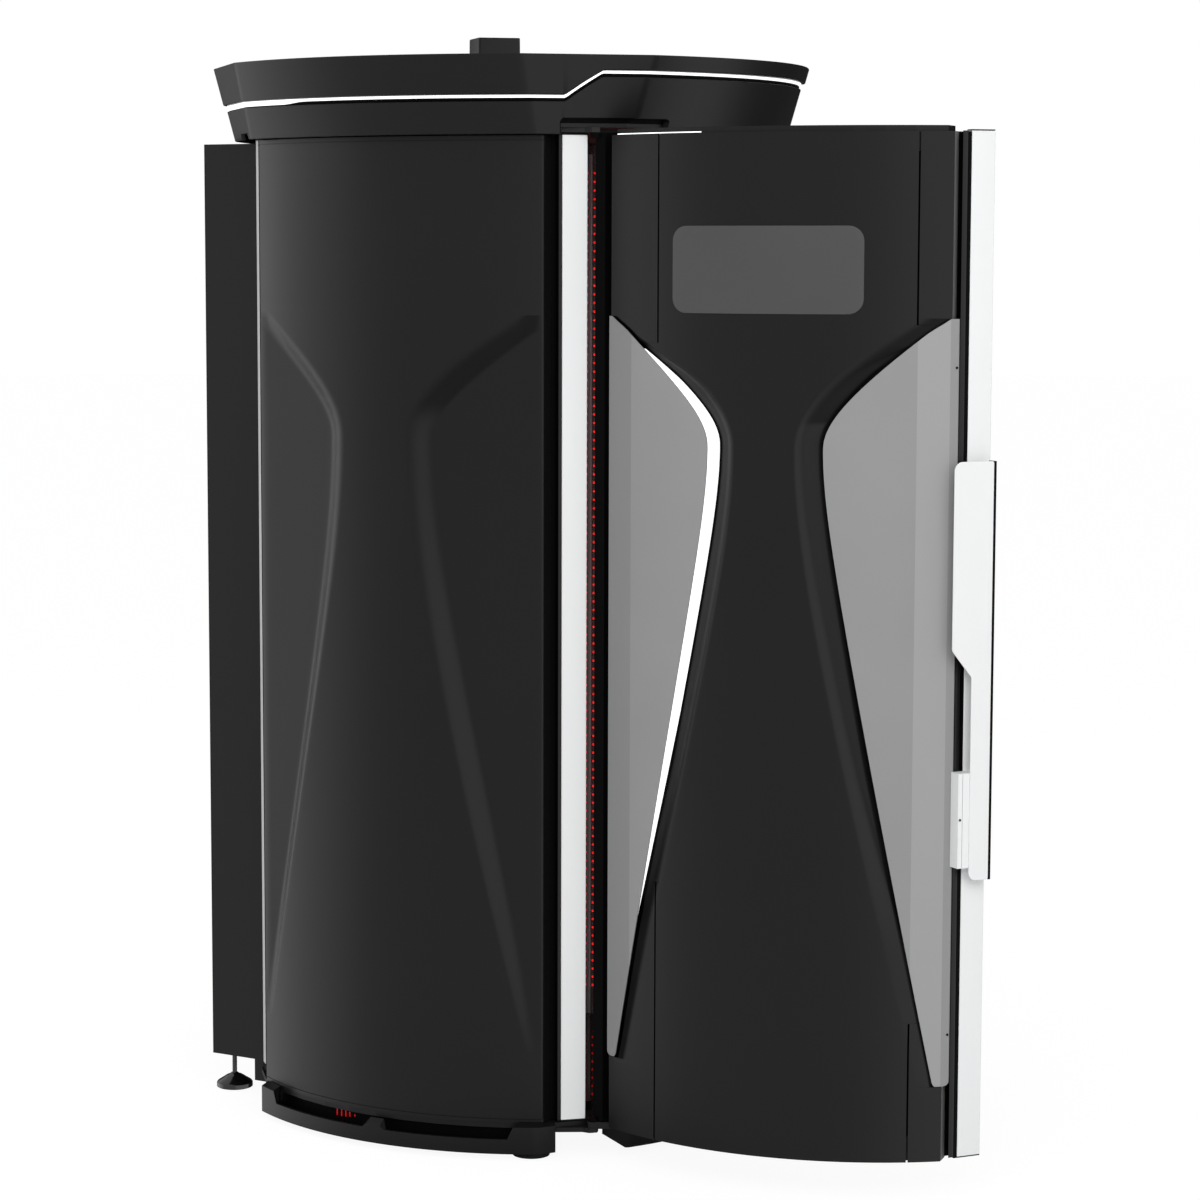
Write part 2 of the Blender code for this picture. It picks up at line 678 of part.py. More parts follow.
def build_rear(booth, mats):
    """The technical cabinet behind the rear lamps: a folded sleeve, its cover, and the power supply."""
    here = Seat(booth, "rear")
    lamp_tray(here, "rear", STAND, CABINET_TOP, mats)
    front = TRAY_BACK + GAP
    outer = (-CABINET_HALF, CABINET_HALF)
    inner = (-CABINET_HALF + CABINET_WALL, CABINET_HALF - CABINET_WALL)
    tall = (CABINET_BOTTOM, CABINET_TOP)
    short = (CABINET_BOTTOM + CABINET_WALL, CABINET_TOP - CABINET_WALL)
    sleeve = [
        rectangle(outer, tall, front),
        rectangle(outer, tall, CABINET_REAR),
        rectangle(inner, short, CABINET_REAR),
        rectangle(inner, short, front),
    ]
    loft(here, "rear_cabinet", sleeve, mats["dark_metal"], ring=True)
    plate = (CABINET_REAR + GAP, CABINET_REAR + GAP + COVER_PLATE)
    cover = box(here, "rear_cover", outer, plate, tall, mats["dark_metal"])
    long, slot = LOUVRE_SIZE
    for bank, base in enumerate(LOUVRE_Z):
        for k in range(LOUVRE_COUNT):
            z = base + k * LOUVRE_PITCH
            through = (CABINET_REAR - 0.01, CABINET_REAR + 0.02)
            cut = box(here, f"louvre_{bank}_{k}", (-long / 2, long / 2), through, (z, z + slot), None)
            combine(cover, cut, "DIFFERENCE")
    wide, deep, high = SUPPLY_SIZE
    bottom = CABINET_BOTTOM + CABINET_WALL + GAP
    span = (front + 0.006, front + 0.006 + deep)
    box(here, "power_supply", (-wide / 2, wide / 2), span, (bottom, bottom + high), mats["steel"])


def canopy_frame():
    """Plan directions of the canopy's outline: its points at half width 0, and how each moves with it."""
    u = np.linspace(-HALF_CHORD, HALF_CHORD, 13)
    rest = []
    move = []
    part = []
    for side in ("front", "right", "rear", "left"):
        seat = Seat(None, side)
        bulge = CANOPY_SAGITTA * (1 - (u / HALF_CHORD) ** 2)
        rest.append(seat.place(np.column_stack([u, bulge, 0 * u]))[:, :2])
        move.append(seat.place(np.column_stack([0 * u, 0 * u + 1, 0 * u]))[:, :2])
        part.append([(side, k) for k in u / HALF_CHORD])
    loop_rest = []
    loop_move = []
    loop_part = []
    for k in range(4):
        after = (k + 1) % 4
        loop_rest += list(rest[k])
        loop_move += list(move[k])
        loop_part += part[k]
        corner_name = ("right_front", "right_rear", "left_rear", "left_front")[k]
        stops = FACET_STOPS if k == 3 else [1 - f for f in FACET_STOPS[::-1]]
        for f in stops:
            loop_rest.append(rest[k][-1] * (1 - f) + rest[after][0] * f)
            loop_move.append(move[k][-1] * (1 - f) + move[after][0] * f)
            loop_part.append((corner_name, f))
    return np.array(loop_rest), np.array(loop_move), loop_part


def band_height(part):
    """Height of the light band: low round the sides and rear, ramping up to the front over the corners."""
    name, f = part
    low, high = RAMP
    if name == "front":
        return BAND_HIGH
    if name == "left_front":
        return BAND_LOW + (BAND_HIGH - BAND_LOW) * min(max((f - low) / (high - low), 0), 1)
    if name == "right_front":
        return BAND_HIGH + (BAND_LOW - BAND_HIGH) * min(max((f - 1 + high) / (high - low), 0), 1)
    return BAND_LOW


def lower_edge(part):
    """Height of the canopy's bottom edge: raised over the door, and higher still in the hinge's slot."""
    name, f = part
    if name == "front":
        return CANOPY_SLOT_TOP if f < -0.6 else CANOPY_FRONT_BOTTOM
    if name == "left_front" and f > SLOT_START[0] + GAP:
        return CANOPY_SLOT_TOP
    if name == "right_front" and f < 1 - SLOT_START[0] - GAP:
        return CANOPY_FRONT_BOTTOM
    return CANOPY_BOTTOM


def canopy_half(z):
    return CANOPY_HALF + CANOPY_FLARE * (np.asarray(z, float) - CANOPY_BOTTOM)


def canopy_loop(frame, half, z):
    rest, move, _ = frame
    half = np.broadcast_to(np.asarray(half, float), (len(rest),))
    plan = rest + move * half[:, None]
    return np.column_stack([plan[:, 0], -plan[:, 1], np.broadcast_to(z, (len(rest),))])


def canopy_ring(seat, name, frame, low, high, grow, wall, mat):
    """A ring wall of the canopy between two heights that vary round it."""
    low = np.asarray(low, float)
    high = np.asarray(high, float)
    loops = [
        canopy_loop(frame, canopy_half(low) + grow, low),
        canopy_loop(frame, canopy_half(high) + grow, high),
        canopy_loop(frame, canopy_half(high) + grow - wall, high),
        canopy_loop(frame, canopy_half(low) + grow - wall, low),
    ]
    loft(seat, name, loops, mat, ring=True)


def build_canopy(booth, mats):
    here = Seat(booth)
    frame = canopy_frame()
    band = np.array([band_height(part) for part in frame[2]])
    edge = np.array([lower_edge(part) for part in frame[2]])
    top = np.full(len(band), CANOPY_TOP)
    above = band + BAND_HEIGHT + SLIDE_GAP
    canopy_ring(here, "canopy_lower", frame, edge, band, 0.0, CANOPY_WALL, mats["black"])
    ends = (band + 2 * GAP, band + BAND_HEIGHT)
    canopy_ring(here, "canopy_light", frame, *ends, -BAND_INSET, BAND_WIDTH, mats["light"])
    canopy_ring(here, "canopy_upper", frame, above, top, CANOPY_STEP, CANOPY_WALL, mats["black"])
    inside = float(canopy_half(ROOF_BOTTOM)) - CANOPY_WALL - GAP
    floor = canopy_loop(frame, inside, 0.0)[:, :2]
    roof = prism(here, "roof_frame", floor, ROOF_BOTTOM, ROOF_TOP, mats["dark_metal"])
    bore = prism(here, "roof_bore", disc((0, 0), FAN_BORE), ROOF_BOTTOM - 0.01, ROOF_TOP + 0.01, None)
    combine(roof, bore, "DIFFERENCE")
    lid_half = float(canopy_half(DECK_BOTTOM)) + CANOPY_STEP - CANOPY_WALL - GAP
    lid = canopy_loop(frame, lid_half, 0.0)[:, :2]
    prism(here, "roof_deck", lid, DECK_BOTTOM, DECK_BOTTOM + DECK_THICK, mats["black"])
    ceiling_top = ROOF_BOTTOM - GAP
    ceiling_base = ceiling_top - CEILING_THICK
    ceiling = prism(here, "ceiling_panel", octagon(), ceiling_base, ceiling_top, mats["black"])
    pitch = 2 * FAN_BORE / CEILING_SLOTS
    for k in range(CEILING_SLOTS):
        y = (k - (CEILING_SLOTS - 1) / 2) * pitch
        reach = math.sqrt(FAN_BORE**2 - y * y)
        slot_y = (y - pitch / 4, y + pitch / 4)
        slot_z = (ceiling_base - CEILING_THICK, ceiling_top + CEILING_THICK)
        cut = box(here, f"ceiling_slot_{k}", (-reach, reach), slot_y, slot_z, None)
        combine(ceiling, cut, "DIFFERENCE")
    build_roof_box(here, mats)


def build_roof_box(seat, mats):
    """The terminal box on the roof, turned 45 degrees, on its flange."""
    base = DECK_BOTTOM + DECK_THICK + GAP
    shoulder = base + ROOF_FLANGE_THICK
    flange = [(ROOF_FLANGE, base), (ROOF_FLANGE, shoulder)]
    levels = [*flange, (ROOF_BOX, shoulder + GAP), (ROOF_BOX, shoulder + ROOF_BOX_HEIGHT)]
    loops = []
    for width, z in levels:
        half = width * ROOT_HALF
        square = [(half, 0), (0, half), (-half, 0), (0, -half)]
        loops.append([(x, y - ROOF_BOX_Y, z) for x, y in square])
    loft(seat, "roof_box", loops, mats["dark_metal"])


def build_fan(booth, mats):
    """The exhaust fan over the ceiling's slots: a square frame with a spider, and the rotor on its hub."""
    here = Seat(booth)
    base = ROOF_TOP + GAP
    angle = np.arange(24) * 2 * math.pi / 24
    round_loop = np.column_stack([np.cos(angle), np.sin(angle)])
    square = round_loop / np.abs(round_loop).max(axis=1)[:, None] * FAN_HALF
    bore = round_loop * FAN_BORE
    loops = [at_height(square, base), at_height(square, base + FAN_DEPTH)]
    loops += [at_height(bore, base + FAN_DEPTH), at_height(bore, base)]
    frame = loft(here, "roof_fan_frame", loops, mats["black"], ring=True)
    reach = FAN_HALF - SKIN_WALL / 4
    half = SPIDER_WIDTH / 2
    spider_z = (base + GAP, base + GAP + SPIDER_THICK)
    bar = box(here, "spider_bar_x", (-reach, reach), (-half, half), spider_z, None)
    cross = box(here, "spider_bar_y", (-half, half), (-reach, reach), spider_z, None)
    hub = prism(here, "spider_hub", disc((0, 0), FAN_HUB), *spider_z, None)
    for helper in (bar, cross, hub):
        combine(frame, helper, "UNION")
    rotor_base = spider_z[1] + GAP
    rotor_top = base + FAN_DEPTH - SPIDER_THICK
    star = []
    for k in range(FAN_BLADES):
        start = 2 * math.pi * k / FAN_BLADES
        spread = 2 * math.pi / FAN_BLADES * 0.62
        star += [(FAN_HUB, start), (FAN_TIP, start), (FAN_TIP, start + spread / 2)]
        star += [(FAN_TIP, start + spread), (FAN_HUB, start + spread)]
    radius, bearing = np.array(star).T
    rotor = []
    for step in np.linspace(0, 1, 5):
        turned = bearing + FAN_TWIST * step
        outline = np.column_stack([radius * np.cos(turned), radius * np.sin(turned)])
        rotor.append(at_height(outline, rotor_base + step * (rotor_top - rotor_base)))
    loft(here, "roof_fan_rotor", rotor, mats["black"])


def hinge_plate(booth, name, z0, pin, mats):
    """A fixed plate under or over the left post, with the pin that the door turns on."""
    here = Seat(booth, "left")
    nose = abs(PIVOT_T) + LUG_RADIUS
    end = PIVOT_S + LUG_RADIUS
    outline = [
        (HINGE_PLATE_START, HINGE_PLATE_DEPTH),
        (HINGE_PLATE_START, 0.0),
        (PIVOT_S - 2 * LUG_RADIUS, PIVOT_T),
        (PIVOT_S - LUG_RADIUS, -nose),
        (end - LUG_RADIUS / 2, -nose),
        (end, PIVOT_T),
        (end, HINGE_PLATE_DEPTH),
    ]
    plate = prism(here, name, corner_outline(outline, 1), z0, z0 + HINGE_PLATE, mats["steel"])
    centre = corner(PIVOT_S, PIVOT_T, 1)
    rod = prism(here, name + "_pin", disc(centre, PIN_RADIUS), *pin, None)
    combine(plate, rod, "UNION")


def build_hinges(booth, mats):
    low = PLATFORM_BOTTOM - GAP - HINGE_PLATE
    high = ROOF_BOTTOM - GAP - HINGE_PLATE
    reach = LUG_HEIGHT - GAP
    hinge_plate(booth, "hinge_plate_bottom", low, (low + HINGE_PLATE / 2, DOOR_BOTTOM + reach), mats)
    hinge_plate(booth, "hinge_plate_top", high, (DOOR_UPRIGHT_TOP - reach, high + HINGE_PLATE / 2), mats)


def pivot_point():
    u, n = corner(PIVOT_S, PIVOT_T, 1)
    return -n, -u, 0.0


def cover_section(z):
    """Outline of the door's middle cover at height z: a sheet whose slopes run down to the backing."""
    floor = GROOVE_FLOOR + LIGHT_WALL + GAP
    outer = []
    inner = []
    limits = (SEAM_HINGE - SEAM_WIDTH / 2, SEAM_FREE - SEAM_WIDTH / 2)
    halves = []
    for limit in limits:
        middle, foot, _, shown = hourglass(z, HALF_CHORD, floor)
        clipped = not shown or foot > limit
        foot = min(foot, limit)
        middle = min(middle, foot - EDGE_STEP)
        crest = float(arc(foot))
        reaches = not clipped and crest > BACKING_FACE + GROOVE_LEAST
        deep = BACKING_FACE + GAP if reaches else crest - SKIN_WALL
        halves.append((middle, foot, deep))
    across = np.linspace(-halves[0][0], halves[1][0], 11)
    for sign, (middle, foot, deep) in zip((-1, 1), halves):
        thin = min(0.006, 0.4 * (foot - middle))
        outer.append((sign * foot, deep))
        inner.append((sign * (foot - thin), deep))
    crown = np.column_stack([across, arc(across)])
    shrink = 1 - SKIN_WALL / 2 / HALF_CHORD
    under = np.column_stack([across * shrink, arc(across * shrink) - SKIN_WALL])
    loop = [outer[0], *crown, outer[1], inner[1], *under[::-1], inner[0]]
    return at_height(loop, z)


def stile_section(z, seam, sign):
    """Outline of a door stile at height z: flush above and below the window, sunk under it, with a lip."""
    middle, _, window, shown = hourglass(z, HALF_CHORD, GROOVE_FLOOR)
    start = seam + SEAM_WIDTH / 2
    if over_backing(z):
        start = max(start, window + GAP)
    low = start + EDGE_STEP
    high = HALF_CHORD - EDGE_STEP
    first = min(max(middle, low), high - 2 * EDGE_STEP)
    second = min(max(window, first + EDGE_STEP), high - EDGE_STEP)
    plain = np.linspace(start, first, 5)
    under = np.linspace(second, HALF_CHORD, 4)
    u = np.array([*plain, *under])
    rate = np.clip(2 * (u - middle) / (window - middle), 0, 1) if shown else np.zeros(len(u))
    sunk = rate * (WINDOW_WALL + 2 * GAP + SLIDE_GAP)
    outer = np.column_stack([u, arc(u) - sunk])
    reach = HALF_CHORD - SKIN_WALL
    v = start + (u - start) * (reach - start) / (HALF_CHORD - start)
    inner = np.column_stack([v, arc(v) - sunk - SKIN_WALL])
    loop = np.array([*outer, (HALF_CHORD, LIP_N), (reach, LIP_N), *inner[::-1]])
    return at_height(loop * (sign, 1), z)


def over_backing(z):
    edge = window_edge(z)
    return WINDOW_BOTTOM <= z <= WINDOW_TOP and edge < BACKING_HALF - EDGE_STEP


def window_section(z, sign):
    start = window_edge(z)
    u = np.linspace(start, HALF_CHORD - GAP, 9)
    outer = np.column_stack([u, arc(u) - SLIDE_GAP])
    inner = outer - (0.0, WINDOW_WALL)
    return at_height(np.array([*outer, *inner[::-1]]) * (sign, 1), z)


def light_section(z, sign):
    """Section of a light guide: a ribbon on edge along the window's inner edge."""
    edge = window_edge(z) - GAP
    low = BACKING_FACE + GAP
    high = float(arc(edge)) - SLIDE_GAP
    loop = [(edge - LIGHT_WALL, low), (edge, low), (edge, high), (edge - LIGHT_WALL, high)]
    return at_height(np.array(loop) * (sign, 1), z)


def light_rows():
    """Heights of the rows where the window's inner edge runs over the backing."""
    return [z for z in skin_rows() if over_backing(z)]


def build_door_skin(seat, mats):
    rows = skin_rows()
    loft(seat, "door_cover", [cover_section(z) for z in rows], mats["black"])
    panes = [z for z in rows if WINDOW_BOTTOM <= z <= WINDOW_TOP]
    panes[0] += GAP
    panes[-1] -= GAP
    for name, sign, seam in (("hinge", -1, SEAM_HINGE), ("free", 1, SEAM_FREE)):
        stile = [stile_section(z, seam, sign) for z in rows]
        loft(seat, "door_stile_" + name, stile, mats["black"])
        loft(seat, "door_window_" + name, [window_section(z, sign) for z in panes], mats["grey"])
        loft(seat, "door_light_" + name, [light_section(z, sign) for z in light_rows()], mats["light"])
    low = DOOR_BOTTOM + RAIL_HEIGHT + GAP
    high = DOOR_LEDGE_TOP - RAIL_HEIGHT - GAP
    half = (-BACKING_HALF, BACKING_HALF)
    sheet = (BACKING_FACE - BACKING_WALL, BACKING_FACE)
    box(seat, "door_backing", half, sheet, (low, high), mats["dark_metal"])


def build_door_frame(seat, mats):
    u = np.linspace(-RAIL_HALF, RAIL_HALF, 13)
    crown = np.column_stack([u, arc(u) - SKIN_WALL - SLIDE_GAP])
    inner = TRAY_BACK + GAP
    rail = [*crown, (RAIL_HALF, inner), (-RAIL_HALF, inner)]
    prism(seat, "door_bottom_rail", rail, DOOR_BOTTOM, DOOR_BOTTOM + RAIL_HEIGHT, mats["dark_metal"])
    prism(seat, "door_top_rail", rail, DOOR_LEDGE_TOP - RAIL_HEIGHT, DOOR_LEDGE_TOP, mats["dark_metal"])
    free = corner_outline(upright_outline(STRIP_START, post_nose()), 1)
    prism(seat, "door_free_upright", free, DOOR_BOTTOM, SKIN_TOP, mats["dark_metal"])
    prism(seat, "door_free_trim", corner_outline(trim_outline(), 1), TRIM_BOTTOM, TRIM_TOP, mats["white"])
    build_hinge_upright(seat, mats)
    lamp_tray(seat, "door", DOOR_TRAY_BOTTOM, DOOR_TRAY_TOP, mats)


def build_hinge_upright(seat, mats):
    """The door's hinge upright: its corner lies on the pivot, and a lug at each end takes the pin."""
    pivot = FACET - PIVOT_S
    nose = [
        (STRIP_START, CHANNEL_DEPTH),
        (STRIP_START, 0.0),
        (pivot, PIVOT_T),
        (HINGE_UPRIGHT_END, PIVOT_T / 3),
        (HINGE_UPRIGHT_END, UPRIGHT_DEPTH),
    ]
    outline = corner_outline(upright_outline(STRIP_START, nose), -1)
    post = prism(seat, "door_hinge_upright", outline, DOOR_BOTTOM, DOOR_UPRIGHT_TOP, mats["dark_metal"])
    centre = corner(pivot, PIVOT_T, -1)
    ends = (
        (DOOR_BOTTOM, DOOR_BOTTOM + LUG_HEIGHT, -1),
        (DOOR_UPRIGHT_TOP - LUG_HEIGHT, DOOR_UPRIGHT_TOP, 1),
    )
    for z0, z1, away in ends:
        lug = prism(seat, f"lug_{away}", disc(centre, LUG_RADIUS), z0, z1, None)
        combine(post, lug, "UNION")
    for z0, z1, away in ends:
        low = z0 - LUG_HEIGHT if away < 0 else z0 - SLIDE_GAP
        high = z1 + SLIDE_GAP if away < 0 else z1 + LUG_HEIGHT
        hole = prism(seat, f"pin_hole_{away}", disc(centre, PIN_RADIUS + PIN_PLAY), low, high, None)
        combine(post, hole, "DIFFERENCE")


def rounded(points, radius, steps=5):
    """A closed outline with each corner replaced by an arc."""
    points = np.asarray(points, float)
    out = []
    for k, here in enumerate(points):
        before = points[k - 1] - here
        after = points[(k + 1) % len(points)] - here
        reach_b, reach_a = np.linalg.norm(before), np.linalg.norm(after)
        before, after = before / reach_b, after / reach_a
        half = math.acos(np.clip(before @ after, -1, 1)) / 2
        run = min(radius / math.tan(half), 0.45 * min(reach_b, reach_a))
        size = run * math.tan(half)
        middle = here + (before + after) / np.linalg.norm(before + after) * size / math.sin(half)
        start = here + before * run - middle
        stop = here + after * run - middle
        for f in np.linspace(0, 1, steps):
            way = start * (1 - f) + stop * f
            out.append(middle + way / np.linalg.norm(way) * size)
    return np.array(out)


def build_handle(seat, mats):
    """The pull: a bent plate stood off the door's free edge, its edge strip, and two brackets."""
    left, right = HANDLE_WIDE
    low, high = HANDLE_NECK
    outline = rounded(
        [
            (left, HANDLE_TOP),
            (right, HANDLE_TOP),
            (right, HANDLE_BOTTOM),
            (HANDLE_NARROW, HANDLE_BOTTOM),
            (HANDLE_NARROW, low),
            (left, high),
        ],
        HANDLE_ROUND,
    )
    loops = []
    for t in (-HANDLE_OFFSET, -HANDLE_OFFSET - HANDLE_WALL):
        loops.append([(*corner(s, t, 1), z) for s, z in outline])
    loft(seat, "door_handle", loops, mats["white"])
    face = -HANDLE_OFFSET - HANDLE_WALL
    strip = (right + GAP, right + GAP + HANDLE_EDGE)
    foot = face + HANDLE_EDGE_DEPTH
    edge = [(strip[0], face), (strip[1], face), (strip[1], foot), (strip[0], foot)]
    end = (HANDLE_BOTTOM, HANDLE_TOP)
    prism(seat, "door_handle_edge", corner_outline(edge, 1), *end, mats["dark_metal"])
    back = -HANDLE_OFFSET + GAP
    near, far = BRACKET_SPAN
    slit, wide, deep = BRACKET_SLIT
    lower = [
        (near, back),
        (slit, back),
        (slit, back + deep),
        (slit + wide, back + deep),
        (slit + wide, back),
        (far, back),
        (far, -GAP),
        (near, -GAP),
    ]
    prism(seat, "door_handle_bracket_lower", corner_outline(lower, 1), *BRACKET_LOWER, mats["white"])
    upper = [(TRIM_START, back), (far, back), (far, -GAP), (TRIM_START, -GAP)]
    prism(seat, "door_handle_bracket_upper", corner_outline(upper, 1), *BRACKET_UPPER, mats["white"])


def build_badge(seat, mats):
    """The plain rounded plate on the door's upper part."""
    middle = (BADGE_SPAN[0] + BADGE_SPAN[1]) / 2
    wide = (BADGE_SPAN[1] - BADGE_SPAN[0]) / 2
    bend = np.linspace(0, math.pi / 2, 5)
    rise = BADGE_ROUND * (1 - np.cos(bend))
    cut = BADGE_ROUND * (1 - np.sin(bend))
    rows = [*zip(BADGE_Z[0] + rise, cut), *zip(BADGE_Z[1] - rise[::-1], cut[::-1])]
    loops = []
    for z, inset in rows:
        u = middle + np.linspace(-1, 1, 13) * (wide - inset)
        low = np.column_stack([u, arc(u) + SLIDE_GAP])
        loops.append(at_height(np.array([*low, *(low + (0.0, BADGE_WALL))[::-1]]), z))
    loft(seat, "door_badge", loops, mats["badge"])


def build_door(booth, mats):
    pivot = pivot_point()
    door = empty("door", pivot, booth)
    door.rotation_euler[2] = -math.radians(DOOR_OPEN)
    seat = Seat(door, "front", pivot)
    build_door_frame(seat, mats)
    build_door_skin(seat, mats)
    build_handle(seat, mats)
    build_badge(seat, mats)


def finishes():
    return {
        "black": finish("satin_black", (0.022, 0.022, 0.023), 0.45),
        "dark_metal": finish("black_powder_coat", (0.012, 0.012, 0.013), 0.5, 0.2),
        "gloss_black": finish("gloss_black", (0.010, 0.010, 0.011), 0.1),
        "white": finish("white_powder_coat", (0.80, 0.80, 0.79), 0.4),
        "grey": finish("smoked_window", (0.28, 0.28, 0.28), 0.35),
        "badge": finish("grey_plate", (0.080, 0.080, 0.081), 0.5),
        "light": finish("white_light_guide", (1.0, 1.0, 1.0), 0.4, 0.0, 1.0, 1.0),
        "clear": finish("clear_guard", (0.85, 0.86, 0.87), 0.05, 0.0, 0.25),
        "steel": finish("zinc_steel", (0.45, 0.45, 0.46), 0.4, 1.0),
        "rubber": finish("black_rubber", (0.015, 0.015, 0.015), 0.8),
        "red": finish("red_button", (0.55, 0.01, 0.01), 0.35),
    }


def centre_on_floor(booth):
    """Moves the booth so that the origin is on the floor, under the middle of its bounding box."""
    bpy.context.view_layer.update()
    graph = bpy.context.evaluated_depsgraph_get()
    low = np.full(3, np.inf)
    high = np.full(3, -np.inf)
    for obj in bpy.context.scene.objects:
        if obj.type != "MESH" or obj.hide_render:
            continue
        ready = obj.evaluated_get(graph)
        corners = np.array([ready.matrix_world @ vertex.co for vertex in ready.data.vertices])
        low = np.minimum(low, corners.min(axis=0))
        high = np.maximum(high, corners.max(axis=0))
    middle = (low + high) / 2
    booth.location = (-middle[0], -middle[1], -low[2])
    bpy.context.view_layer.update()


def main():
    clear_scene()
    mats = finishes()
    booth = empty("booth")
    build_base(booth, mats)
    build_wing(booth, "left", 1, mats)
    build_wing(booth, "right", -1, mats)
    build_left_post(booth, mats)
    build_strike_post(booth, mats)
    build_rear(booth, mats)
    build_canopy(booth, mats)
    build_fan(booth, mats)
    build_hinges(booth, mats)
    build_door(booth, mats)
    centre_on_floor(booth)


main()
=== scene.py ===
"""Looks of the red light therapy booth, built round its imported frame.

Every new piece is a surface worked out with numpy. Points are laid out on a side of the booth as u
(along the side), n (out from the booth's axis) and z, or on a corner facet as s (along it) and t
(into it), and are then turned to their place. The door's pieces are laid out shut and turned about
the pivot to the open pose. All lengths are in metres.
"""

import json
import math

import bmesh
import bpy
import numpy as np
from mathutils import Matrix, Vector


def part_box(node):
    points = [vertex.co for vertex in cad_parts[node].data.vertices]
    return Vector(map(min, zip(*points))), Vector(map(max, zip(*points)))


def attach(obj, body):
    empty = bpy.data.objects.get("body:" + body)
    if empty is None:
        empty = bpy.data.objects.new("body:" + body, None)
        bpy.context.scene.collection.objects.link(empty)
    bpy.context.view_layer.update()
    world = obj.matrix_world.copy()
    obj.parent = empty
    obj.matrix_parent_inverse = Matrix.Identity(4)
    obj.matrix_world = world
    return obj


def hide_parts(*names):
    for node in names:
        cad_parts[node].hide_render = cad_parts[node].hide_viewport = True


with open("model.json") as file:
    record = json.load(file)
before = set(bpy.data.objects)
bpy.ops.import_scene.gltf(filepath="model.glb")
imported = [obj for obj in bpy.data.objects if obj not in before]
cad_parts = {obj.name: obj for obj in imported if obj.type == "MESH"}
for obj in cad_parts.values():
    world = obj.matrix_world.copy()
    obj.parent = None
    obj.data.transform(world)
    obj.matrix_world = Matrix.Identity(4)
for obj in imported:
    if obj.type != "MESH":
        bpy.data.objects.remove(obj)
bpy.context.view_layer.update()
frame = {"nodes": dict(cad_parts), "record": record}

# A side in plan: distance of its chord from the axis, half the chord, and rise of the arc over it
SIDE = 0.466
HALF_CHORD = 0.355
SAGITTA = 0.099

# Skins: gap between pieces, sheet, depth of the lips, lower and upper end, end caps and edges
GAP = 0.0003
SKIN_WALL = 0.005
LIP_N = 0.430
STAND = 0.0735
SKIN_TOP = 2.1335
CAP_BAND = 0.009
CAP_SEAM_HALF = 0.0008
CAP_SEAM_DEPTH = 0.0016
CORNER_ROUND = 0.004
EDGE = 0.0008

# Hourglass curves: half width at the waist, then slope and softness above it and below it
WAIST = 1.512
COVER = (0.075, 2.4, 0.28, 0.238, 0.263)
WING = (0.130, 1.5, 0.10, 0.211, 0.24)
WINDOW = (0.120, 1.30, 0.10, 0.19, 0.14)

# Side fields of the wings, and the height over which a slope ends
FIELD_SLOPE = 0.27
FIELD_RIM = 0.026
RIM_DROP = 0.0035
SLOPE_END = 0.012

# Slopes of the door's face, down to the backing behind the panes
BACKING = 0.4995
CREST_SOFT = 0.014
CREASE = 1.556
SLOPE_ROUND = 0.30
STEEP_START = 0.008
STEEP_RUN = 1.2
GROOVE_FLOOR = 0.004
GROOVE_LEAST = (0.65, 0.12)

# Panes of the door, the light guides under them, and the seams of its face
WINDOW_BOTTOM = 0.2275
WINDOW_TOP = 1.768
WINDOW_BEND = 0.030
PANE_END = {"hinge": 0.361, "free": 0.367}
PANE_SUNK = 0.0008
PANE_WALL = 0.004
PANE_SEAT = 0.0052
PLUG_U = 0.3642
PLUG_Z = (1.672, 0.334)
GUIDE_LEAN = 0.010
LEAN_DEPTH = 0.03
LIGHT_WALL = 0.003
LIGHT_REACH = 0.281
SEAM_HINGE = 0.235
SEAM_FREE = 0.294
SEAM_HALF = 0.0017

# Corner trim, the strips beside it and the pale strips of painted highlight on the rear edges (span
# along the facet, heights), and the pull
TRIM = (0.039, 0.093)
TRIM_DEPTH = 0.0182
TRIM_WALL = 0.003
TRIM_ROUND = 0.0025
TRIM_Z = (0.079, 2.1347)
CAP_WALL = 0.0028
POST_STRIP = (0.0315, 0.0387)
DOOR_STRIP = (0.0185, 0.0300)
REAR_HIGHLIGHT_STRIP = ((0.003, 0.030), (0.108, SKIN_TOP))
HANDLE_OUT = 0.030

# Canopy: plan, flare, heights, the notch at a rear corner, and the slot over the door's hinge
CANOPY_HALF = 0.496
CANOPY_SAGITTA = 0.094
CANOPY_FLARE = 0.32
CANOPY_BOTTOM = 2.1355
CANOPY_TOP = 2.295
CANOPY_FRONT = 2.1505
CANOPY_SLOT = 2.168
CANOPY_WALL = 0.014
LINER_BOTTOM = 2.1586
ROOF_DECK = 2.2873
NOTCH = (0.45, 0.90)
NOTCH_RISE = 0.013
SLOT_START = 0.25
SLOT_END = -0.775
SLOT_ROUND = 0.010

# Light band: its lower edge at the back and over the front, and how it ramps and fades
BAND_LOW = 2.201
BAND_HIGH = 2.2505
BAND_HEIGHT = 0.0125
BAND_GAP = 0.0008
BAND_LIT = 0.0054
BAND_FADE = (-0.62, -0.42)
RAMP = (0.31, 0.63)

# Lamp trays, rear cabinet, and the bearing of the lower hinge's ear
TRAY_FLOOR = 0.4087
TRAY_HALF = 0.3325
BOARD_Z = {"booth": (0.084, 2.120), "door": (0.099, 2.118)}
LAMP_PITCH = 0.020
CABINET_BACK = 0.5624
EAR_TURN = math.radians(-59)

